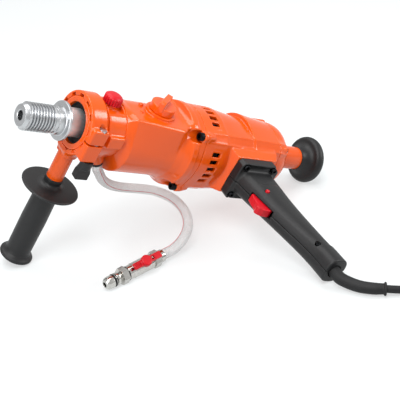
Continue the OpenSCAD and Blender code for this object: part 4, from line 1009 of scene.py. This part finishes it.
def selector_field(x, y, z):
    u, v, h = x - SELECT_X, z - SELECT_Z, -y - 36.4
    drum = rod(h, u, v, 15, -0.4, 8.6, 1.0)
    p, q = swing(math.radians(42), u, v)
    bar = slab(p, h, q, FINGER_BAR, 3.4, 0.7)
    return join(join(drum, bar, 1.0), rod(h, u, v, 5, -8, 2), 0.4)


cast(
    "gear_selector_cast", selector_field, [148, -54.5, -25], [184, -27, 11.5], 0.5, enamel, ["gear_selector"],
    "gear_selector",
)

# %% [markdown]
# ## Water knob
# The knob that opens the water chamber is a little fluted wheel. Its core is spun, and the half-round
# ribs round it repeat, so Geometry Nodes stands one on each point of a circle.

# %% Geometry Nodes: ribs round a wheel
KNOB = {"Count": 20, "Wheel Radius": 0.0095, "Rib Radius": 0.00128, "Rib Length": 0.0074}
ribs, given = new_tree("ribs_round_a_wheel", KNOB)
circle = geo(ribs, "MeshCircle", {"Vertices": given["Count"], "Radius": given["Wheel Radius"]})["Mesh"]
rib = geo(ribs, "MeshCylinder", {"Vertices": 12, "Radius": given["Rib Radius"], "Depth": given["Rib Length"]})
cap_ball = geo(ribs, "MeshUVSphere", {"Segments": 12, "Rings": 6, "Radius": given["Rib Radius"]})["Mesh"]
lift = add(ribs, "ShaderNodeCombineXYZ", {"Z": calc(ribs, "MULTIPLY", given["Rib Length"], 0.49)}).outputs[0]
ball = geo(ribs, "Transform", {"Geometry": cap_ball, "Translation": lift})[0]


def together(*parts):
    joined = add(ribs, "GeometryNodeJoinGeometry")
    for part in parts:
        ribs.links.new(part, joined.inputs[0])
    return joined.outputs[0]


stood = geo(ribs, "InstanceOnPoints", {"Points": circle, "Instance": together(rib["Mesh"], ball)})[0]
finish_tree(ribs, given, together(stood, given["Geometry"]))
print(ribs.name, len(ribs.nodes), "nodes")

# %% Ribbed knob
dome = soften([(-4, 0), (-4, 9), (3, 9.9), (4.8, 9.5), (6.2, 8), (7, 5.2), (7.3, 0)], 0.8, 5)
core, core_faces = stack(spun(dome, ORIGIN, Z, 80), spun(plain_bar(-12, -3, 3.5), ORIGIN, Z, 32))
wheel = bpy.data.meshes.new("wheel")
wheel.from_pydata(core / MM, [], core_faces)
knob = grow("water_knob_ribbed", wheel, ribs, {**KNOB, "Material": abs_red})
lay_grown(knob, [[1, 0, 0], [0, 0, -1], [0, 1, 0]], [WATER_X, -36.5, 0])
settle(knob, "red_moulding", ["water_knob"], "water_knob", 50)

# %% [markdown]
# ## Motor
# The motor casting starts round at the fan, draws in to a waist and swells again over the brushes.
# Two rails run along the grip's side of it, and a block carries the grip. Four groups of five slots
# let the fan blow out. Each rail is the hull of the round body and two corners.

# %% Motor casting
CORNERS, CAP_REACH = np.radians([45, 135, 225, 315]), 39.8
SLOT_PITCH = math.radians(11.5)


def railed(x, v, w, stations, radii, tops):
    return rails(v, w, np.interp(x, stations, radii), np.interp(x, stations, tops))


def cap_bosses(v, w):
    return [(v - CAP_REACH * math.sin(a), w - CAP_REACH * math.cos(a)) for a in CORNERS]


def motor_field(x, y, z):
    v, w = y - MOTOR, -z
    far = np.hypot(v, w)
    radii, tops = [49.5, 48.6, 47.9, 42.1, 41.8], [53.8, 53, 52.4, 49.6, 49.3]
    barrel = railed(x, v, w, [222, 256, 258, 298, 305], radii, tops)
    body = carve(barrel, np.minimum(x - 222.2, 306 - x), 0.7)
    brushes = railed(x, v, w, [303, 346, 351], [47, 42, 41.8], [50.6, 47, 46.8])
    body = join(body, carve(brushes, np.minimum(x - 303, 349.8 - x), 1.4), 1.6)
    body = join(body, ear_bosses(x, v, w, 222.2, 234, np.interp(x, [222, 226, 233], [6, 5.2, 3.4])), 2.5)
    for p, q in cap_bosses(v, w):
        body = join(body, rod(x, p, q, 5.4, 335, 349.8, 0.8), 1.5)
    lean = np.clip((-z - 42) / 12, 0, 1)
    mount = block(x, v, -z, [263.6, -30, 30], [337.6, 30, 53.8], 1.0)
    slope = np.maximum(263.4 + 6.4 * lean - x, x - (337.8 - 6.6 * lean))
    body = join(body, np.maximum(mount, np.maximum(np.abs(v) - (30.2 - 3.7 * lean), slope)), 2.0)
    spoke = (np.arctan2(v, w) + np.pi / 4) % (np.pi / 2) - np.pi / 4
    near = (spoke / SLOT_PITCH + 0.5) % 1 - 0.5
    ends = np.maximum(np.abs(spoke) - 2.5 * SLOT_PITCH, np.maximum(236.6 - x, x - 249.6))
    slots = np.maximum(np.abs(near * SLOT_PITCH * far) - 2.8, ends)
    body = carve(body, np.maximum(slots, 40 - far), 0.5)
    body = carve(body, rod(x, v, w, 45, 224, 256), 0.6)
    return carve(body, rod(x, v, w, 37.5, 210, 360), 0.6)


cast("motor_casting", motor_field, [221, -47, -56], [351, 65, 54], 1.03, enamel, ["motor_housing"])

# %% Motor end cap
DOME = [(350.2, 0), (350.2, 41.6)]
DOME += [(353 + 24 * math.sin(t), 24.4 + 17.2 * math.cos(t)) for t in np.radians(np.arange(0, 80, 7.5))]
DOME += [(377, 20), (377, 0)]


def cap_field(x, y, z):
    v, w = y - MOTOR, -z
    body = outline(x, np.hypot(v, w), DOME)
    rim = railed(x, v, w, [350, 352, 365], [40, 40, 36], [46.5, 46.3, 43])
    body = join(body, carve(rim, np.minimum(x - 350.2, 365 - x), 1.0), 1.5)
    body = join(body, rod(x, v, w, 17, 370, 380, 1.2), 4.0)
    for p, q in cap_bosses(v, w):
        body = join(body, rod(x, p, q, 5.4, 350.2, 364, 0.8), 1.2)
    for p, q in cap_bosses(v, w):
        body = carve(body, np.maximum(np.hypot(p, q) - 4.2, 362.5 - x), 0.4)
    body = carve(body, rod(x, v, w, 15.05, 369, 400), 0.5)
    return carve(body, rod(x, v, w, 36, 349, 358), 0.5)


cast("motor_end_cap_casting", cap_field, [349, -40, -52], [382, 60, 48], 0.7, enamel, ["motor_end_cap"])

# %% Rear tube and palm knob
tube = spun(soften(plain_bar(369.2, 421.4, 15), 0.2), [0, MOTOR, 0], X)
dress("rear_tube_painted", lay(tube), enamel, ["rear_tube"])
bell = [(410, 0), (410, 11.9), (421.2, 11.9), (421.5, 15.2), (421.8, 15.6)]
throat, rim, face = (np.radians(np.arange(*k)) for k in ((8, 86, 7), (-75, 76, 10), (24, 90, 7)))
bell += [(421.8 + 14.5 * math.sin(t), 15.6 + 10.4 * (1 - math.cos(t))) for t in throat]
bell += [(443.3 + 7.2 * math.sin(t), 24.6 + 6.2 * math.cos(t)) for t in rim]
bell += [(446 + 15 * math.sin(t), 27.4 * math.cos(t)) for t in face] + [(461, 0)]
dress("palm_knob_moulded", lay(spun(bell, [0, MOTOR, 0], X, 112)), nylon, ["palm_knob"], crease=60)

# %% [markdown]
# ## Pistol grip
# The grip is two half shells, screwed together along the middle. Its section is a soft rectangle that
# changes from station to station, and it grows out of a thick flange that is screwed under the motor.
# Both halves come from one field, each cut back a little at the middle so that the parting line shows.

# %% Grip half shells
# Each station has its distance from the spindle, the grip's front and back there, and half its width.
STATIONS = np.array([
    [54, 270.6, 325.5, 19.4], [60, 271, 325, 19], [72, 273, 326.5, 18.5], [90, 277, 327, 17.5],
    [110, 281, 327, 16.5], [131, 287, 328, 15.8], [152, 293, 329.5, 15.5], [175, 300, 331, 15.5],
    [193, 304, 332, 15.8], [196, 304.6, 334.6, 16.2], [222, 306.5, 336.8, 16.4],
])
PLATE = [
    (269.6, -22.3), (273.6, -26.3), (323, -26.3), (331, -18.3), (331, 18.3), (323, 26.3), (273.6, 26.3),
    (269.6, 22.3),
]
FLANGE_X, FLANGE_V, ROUNDNESS = (277.5, 322), (-20.5, 20.5), 2.7
BUTTON_X, BUTTON_A, SHELL_SCREW_X, SHELL_SCREW_A = 289.8, 101.8, 309, 190


def grip_field(x, y, z):
    v, a = y - MOTOR, -z
    front, back, half = (
        sum(np.interp(a + s, STATIONS[:, 0], STATIONS[:, k]) for s in soft) / len(soft)
        for k, soft in ((1, (-8, -4, 0, 4, 8)), (2, (-1.2, 0, 1.2)), (3, (-6, 0, 6)))
    )
    mid, deep = (front + back) / 2, (back - front) / 2
    body = (np.abs((x - mid) / deep) ** ROUNDNESS + np.abs(v / half) ** ROUNDNESS) ** (1 / ROUNDNESS)
    body = (body - 1) * np.minimum(deep, half) * 0.95
    body = carve(body, np.minimum(a - 55, 221.6 - a), 1.6)
    body = join(body, slab(x, v, a - 60, PLATE, 6, 1.2), 4.0)
    for sx in FLANGE_X:
        for sv in FLANGE_V:
            body = carve(body, rod(a, x - sx, v - sv, 5.0, 64, 86, 0.3), 1.0)
    # A shallow channel runs between the two screws on each side of the flange.
    for sv in FLANGE_V:
        body = carve(body, block(x, v - sv, a, [272.6, -4.6, 64.6], [326.8, 4.6, 92], 4.4), 1.4)
    # The trigger's window is deep enough for its swing, and the lead, button and screw have their holes.
    body = carve(body, block(x, v, a, [255, -5.3, 92.2], [301, 5.3, 128.6], 0.8), 0.8)
    body = carve(body, rod(a, x - 321, v, 8.3, 211, 240), 1.0)
    body = carve(body, np.maximum(np.hypot(x - BUTTON_X, a - BUTTON_A) - 3.0, v + 3), 0.5)
    return carve(body, np.maximum(np.hypot(x - SHELL_SCREW_X, a - SHELL_SCREW_A) - 3.2, v + 6), 0.5)


for side, name, node, y_low, y_high in (
    (1, "grip_shell_left", "grip_left", 8.6, 37), (-1, "grip_shell_right", "grip_right", -18.5, 10.4),
):
    half_field = lambda x, y, z, s=side: carve(grip_field(x, y, z), s * (y - MOTOR) - 0.22, 0.9)
    cast(name, half_field, [268, y_low, -223], [339, y_high, -53], 0.8, nylon, [node], crease=50)

# %% Trigger and lock button
TRIGGER = [
    (280, 94), (275.6, 95.4), (270.8, 114.4), (268.6, 118.2), (270, 121.4), (275, 124.6),
    (284, 126), (288, 125), (290, 121), (292, 100), (290, 94),
]


def trigger_field(x, y, z):
    body = slab(x, -z, y - MOTOR, TRIGGER, 4.8, 0.6)
    # A finger rest runs across the front.
    return carve(body, np.hypot(x - 259.4, -z - 107) - 13.4, 1.2)


cast(
    "trigger_moulded", trigger_field, [266, 3.5, -128], [296, 15.5, -92], 0.4, abs_red, ["trigger"],
    "trigger", crease=35,
)
push = soften([(0, 0), (0, 1.5), (0.5, 2.4), (1.4, 2.7), (6.2, 2.7), (6.2, 0)], 0.4)
button = spun(push, [BUTTON_X, MOTOR - 17, -BUTTON_A], Y, 40)
dress("lock_button_moulded", lay(button), abs_red, ["lock_button"], "lock_button", crease=50)

# %% [markdown]
# ## Socket screws
# Every joint of the housing is pulled together by socket head cap screws. One screw is spun, with a
# chamfered head and a hexagon socket. A tree then stands it on each seat: the seats are points that
# carry the way they face as a named attribute.

# %% Geometry Nodes: pieces on seats
def cap_screw(head, height, socket, shank, long):
    """A screw along +Z. The underside of its head is at zero."""
    key = six_flats(socket * math.cos(math.pi / 6))
    floor_at = 0.45 * height
    return spun([
        (-long, 0), (-long, shank - 0.4), (0.4 - long, shank), (0, shank), (0, head - 0.15), (0.15, head),
        (height - 0.8, head), (height - 0.25, head - 0.3), (height, head - 0.9), (height, 1.12 * socket),
        (height - 0.3, key), (floor_at, key), (floor_at, 0),
    ], ORIGIN, Z, 48)


seated, given = new_tree("pieces_on_seats", {"Piece": bpy.types.Object})
one = geo(seated, "ObjectInfo", {"Object": given["Piece"]})["Geometry"]
way = geo(seated, "InputNamedAttribute", {"Name": "facing"}, data_type="FLOAT_VECTOR")["Attribute"]
facing = add(seated, "FunctionNodeAlignRotationToVector", {"Vector": way}, axis="Z").outputs[0]
seats = {"Points": given["Geometry"], "Instance": one, "Rotation": facing}
finish_tree(seated, given, geo(seated, "InstanceOnPoints", seats)[0])
print(seated.name, len(seated.nodes), "nodes")

# %% Screws on their seats
def screw_set(name, seats, facing, sizes, node):
    points, faces = cap_screw(*sizes)
    mesh = bpy.data.meshes.new("cap_screw")
    mesh.from_pydata(points / MM, [], faces)
    single = bpy.data.objects.new("cap_screw", mesh)
    scene.collection.objects.link(single)
    places = bpy.data.meshes.new(name)
    places.from_pydata(on_floor(seats) / MM, [], [])
    store = places.attributes.new("facing", "FLOAT_VECTOR", "POINT")
    store.data.foreach_set("vector", np.tile(TURN @ facing, (len(seats), 1)).astype(np.float32).ravel())
    piece = grow(name, places, seated, {"Piece": single, "Material": black_oxide})
    bpy.data.objects.remove(single)
    settle(piece, "black_steel", [node], crease=32)


def round_motor(x, reach, angles):
    return [[x, MOTOR + reach * math.sin(a), -reach * math.cos(a)] for a in angles]


# The sizes are the head's radius and height, the socket's radius, and the shank's radius and length.
flange_seats = [[sx, MOTOR + sv, -64] for sx in FLANGE_X for sv in FLANGE_V]
shell_seat = [[SHELL_SCREW_X, MOTOR - 12, -SHELL_SCREW_A]]
ear_seats, cap_seats = round_motor(215.5, EAR_REACH, EARS), round_motor(362.5, CAP_REACH, CORNERS)
screw_set("flange_cap_screws", ear_seats, -X, (5, 6, 2.7, 2.5, 15), "flange_screws")
screw_set("end_cap_cap_screws", cap_seats, X, (3.8, 4, 2.1, 1.75, 22.5), "end_cap_screws")
screw_set("grip_flange_cap_screws", flange_seats, -Z, (4, 4, 2.2, 2, 21), "grip_flange_screws")
screw_set("grip_shell_cap_screw", shell_seat, -Y, (2.9, 2, 1.5, 1.7, 20), "grip_shell_screw")

# %% [markdown]
# ## Ball valve
# The hose ends in a nickel-plated brass ball valve with a quick-coupling nipple. It is turned and
# milled from bar, so it is spun outlines and hexagons in line, with a red moulded lever on its stem.

# %% Valve fittings
HEX, STEM_AT = 18.3, 25
sideways = np.cross(Z, valve_dir)
tilt = math.radians(-40)
stem_dir = unit(Z * math.cos(tilt) - sideways * math.sin(tilt))
pivot = valve_tail + STEM_AT * valve_dir


def on_valve(profile, soft, around=64):
    return spun(soften(profile, soft) if soft else profile, valve_tail, valve_dir, around)


ferrule = on_valve([(-7, 6.7), (-7, 7.8), (-1, 7.8), (0, 7.4), (0, 6.7), (-7, 6.7)], 0.3, 48)
nut = stack(hexagon(HEX, valve_tail, valve_dir, 9, Z, 0.8), ferrule)
dress("valve_hose_nut_milled", nut, nickel, ["valve_hose_nut"], crease=30)
barrel = [(9, 0), (9, 8.2), (11.6, 8.3), (12, 9.1), (39.4, 9.1), (40, 8.5), (47.4, 8.5), (47.4, 0)]
stem = spun(soften(plain_bar(0, 10.4, 5), 0.4), pivot, stem_dir, 40)
dress("valve_body_turned", stack(on_valve(barrel, 0.5, 72), stem), nickel, ["valve_body"], crease=30)
tip = [
    (57.4, 0), (57.4, 5.8), (61, 5.8), (61.4, 7.6), (64.4, 7.6), (65, 6.4), (66.2, 5.6), (68.6, 5.6),
    (68.6, 7.2), (69.4, 7.6),
]
tip += [(73.4 + 6.6 * math.sin(t), 7.6 * math.cos(t) ** 0.6) for t in np.radians(np.arange(0, 75, 10))]
tip += [(79.9, 3), (60, 2.6), (60, 0)]
nipple = stack(hexagon(HEX, valve_tail + 49.4 * valve_dir, valve_dir, 8, Z, 0.8), on_valve(tip, 0.3))
dress("valve_nipple_turned", nipple, nickel, ["valve_nipple"], crease=30)
ring = [(67.4 + 1.1 * math.cos(t), 6.8 + 1.1 * math.sin(t)) for t in np.linspace(0, 2 * np.pi, 17)]
seals = stack(on_valve(washer(47.4, 49.4, 4.1, 8.9), 0.3), on_valve(ring, 0))
dress("nipple_seal_rings", seals, rubber, ["nipple_seals"], crease=50)

# %% Valve lever and its nut
def lever_field(x, y, z):
    hub = rod(z, x, y, 6.8, 0, 7.4, 1.8)
    body = join(hub, block(x, y, z, [-22.5, -4, 1], [17.5, 4, 4.5], 0.7), 1.0)
    for k in range(4):
        body = carve(body, block(x, y, z, [8.6 + 2.3 * k, -3.2, 3.4], [9.7 + 2.3 * k, 3.2, 9], 0.2), 0.3)
    body = carve(body, block(x, y, z, [-12.5, -2, -5], [-8.5, 2, 9], 0.3), 0.4)
    return join(body, rod(z, x, y, 2.5, -6.5, 2), 0.4)


points, faces = skin(lever_field, [-24, -8, -8], [19, 8, 9], 0.45)
points = pivot + 11 * stem_dir + points @ np.stack([valve_dir, np.cross(stem_dir, valve_dir), stem_dir])
dress("valve_lever_moulded", (points, faces), abs_red, ["valve_lever"], "valve_lever", crease=40)
stem_nut = hexagon(6, pivot + 15.5 * stem_dir, stem_dir, 2.4, valve_dir, 0.4)
dress("valve_stem_nut_milled", stem_nut, nickel, ["valve_stem_nut"], "valve_lever", "steel", 30)

# %% Hose clamp at the barb
clamp = spun(soften(washer(0, 5, 6.15, 7.2), 0.35), inlet + 14 * inlet_dir, inlet_dir, 56)
dress("hose_clamp_ring", lay(clamp), black_oxide, ["hose_clamp_upper"], slot="black_moulding")

# %% Plug, pins and coil tie
shell = [
    (0, 0), (0, 6.5), (14, 8), (18, 13), (24, 18), (30, 18.5), (46, 18.5), (48, 17.5), (48, 15.5),
    (46.5, 15.2), (46.5, 0),
]
plug_shape = spun(soften(shell, 0.8, 5), plug_back, cable_dir, 72)
plug = dress("mains_plug_moulded", plug_shape, rubber, ["mains_plug"], crease=50)
across = np.cross(Z, cable_dir)
pin = soften([(46, 0), (46, 2.4), (64, 2.4), (66.4, 1.9), (67, 1.2), (67, 0)], 0.3)
both_pins = stack(*[spun(pin, plug_back + s * 9.5 * across, cable_dir, 28) for s in (-1, 1)])
pins = dress("mains_plug_pins", both_pins, nickel, ["plug_pins"])

tie_in, tie_out = coil_out - pitch * layer_turns - CABLE / 2 - 0.4, coil_out + CABLE / 2 + 0.4
tie_top = coil_low + (layers - 1) * pitch + CABLE / 2 + 0.4
way = coil_angle + math.radians(75)
radial, tangent = np.array([math.cos(way), math.sin(way), 0]), np.array([-math.sin(way), math.cos(way), 0])


def tie_field(x, y, z):
    outside = block(x, y, z, [tie_in - 1, -5, 0], [tie_out + 1, 5, tie_top + 1], 0.4)
    band = carve(outside, block(x, y, z, [tie_in, -9, 1], [tie_out, 9, tie_top], 2.0), 0.2)
    buckle = block(x, y, z, [tie_in + 6, -5, tie_top + 0.6], [tie_in + 19, 5, tie_top + 1.9], 0.3)
    return join(band, buckle, 0.3)


points, faces = skin(tie_field, [tie_in - 2.5, -6.5, -1.5], [tie_out + 2.5, 6.5, tie_top + 3], 0.5)
points = coil_centre * np.array([1, 1, 0]) + points @ np.stack([radial, tangent, Z])
tie = dress("coil_tie_band", (points, faces), rubber, ["coil_tie"], crease=40)

# %% [markdown]
# ## The cords
# The hose and the lead are tubes drawn along fixed routes.

print("the hose and the lead are fixed tubes")

# %% [markdown]
# ## Studio
# The tool lies on a white sweep. A large soft light hangs over it, two smaller ones stand at the front
# left and at the right, where their reflections lie in the photograph, and a weak one fills the left.
# The floor keeps the soft shadows, and it glows more for camera, mirror and glass rays, which lifts it
# to paper white without putting more light on the tool.

# %% Floor and world
WHITE = (1, 1, 1, 1)


def by_ray(tree, lighting, seen):
    """One strength for rays that carry light about, another for camera, mirror and glass rays."""
    rays = add(tree, "ShaderNodeLightPath").outputs
    some = calc(tree, "MAXIMUM", rays["Is Camera Ray"], rays["Is Glossy Ray"])
    return ranged(tree, calc(tree, "MAXIMUM", some, rays["Is Transmission Ray"]), lighting, seen)


paper, tree, shader, place = material("white_paper_sweep")
fill(tree, shader, {
    "Base Color": shades(tree, noise(tree, place, 300), "#A2A7A8", "#A8ADAE"), "Roughness": 0.9,
    "Specular IOR Level": 0.1, "Emission Color": WHITE, "Emission Strength": by_ray(tree, 0.2, 0.56),
})
sheet = bpy.data.meshes.new("floor")
sheet.from_pydata([(-4, -4, 0), (4, -4, 0), (4, 4, 0), (-4, 4, 0)], [], [(0, 1, 2, 3)])
sheet.materials.append(paper)
floor = bpy.data.objects.new("floor", sheet)
scene.collection.objects.link(floor)

world = bpy.data.worlds.new("studio")
scene.world = world
world.use_nodes = True
tree = world.node_tree
fill(tree, tree.nodes["Background"], {"Color": WHITE, "Strength": by_ray(tree, 0.3, 0.72)})
print("floor and world ready")

# %% Lamps
AIM = Vector((0.0, 0.0, 0.08))
for name, at, size, power in (
    ("overhead_softbox", (0.2, 0.5, 1.7), 1.3, 18),
    ("front_left_key", (-0.65, -0.55, 1.55), 0.8, 18),
    ("right_key", (1.38, -0.8, 0.8), 0.6, 13),
    ("left_fill", (-1.5, -0.3, 0.7), 0.9, 9),
):
    lamp = bpy.data.objects.new(name, bpy.data.lights.new(name, "AREA"))
    lamp.data.size, lamp.data.energy = size, power
    lamp.location = at
    lamp.rotation_mode = "QUATERNION"
    lamp.rotation_quaternion = (AIM - Vector(at)).to_track_quat("-Z", "Y")
    scene.collection.objects.link(lamp)
scene.view_settings.view_transform = "Standard"
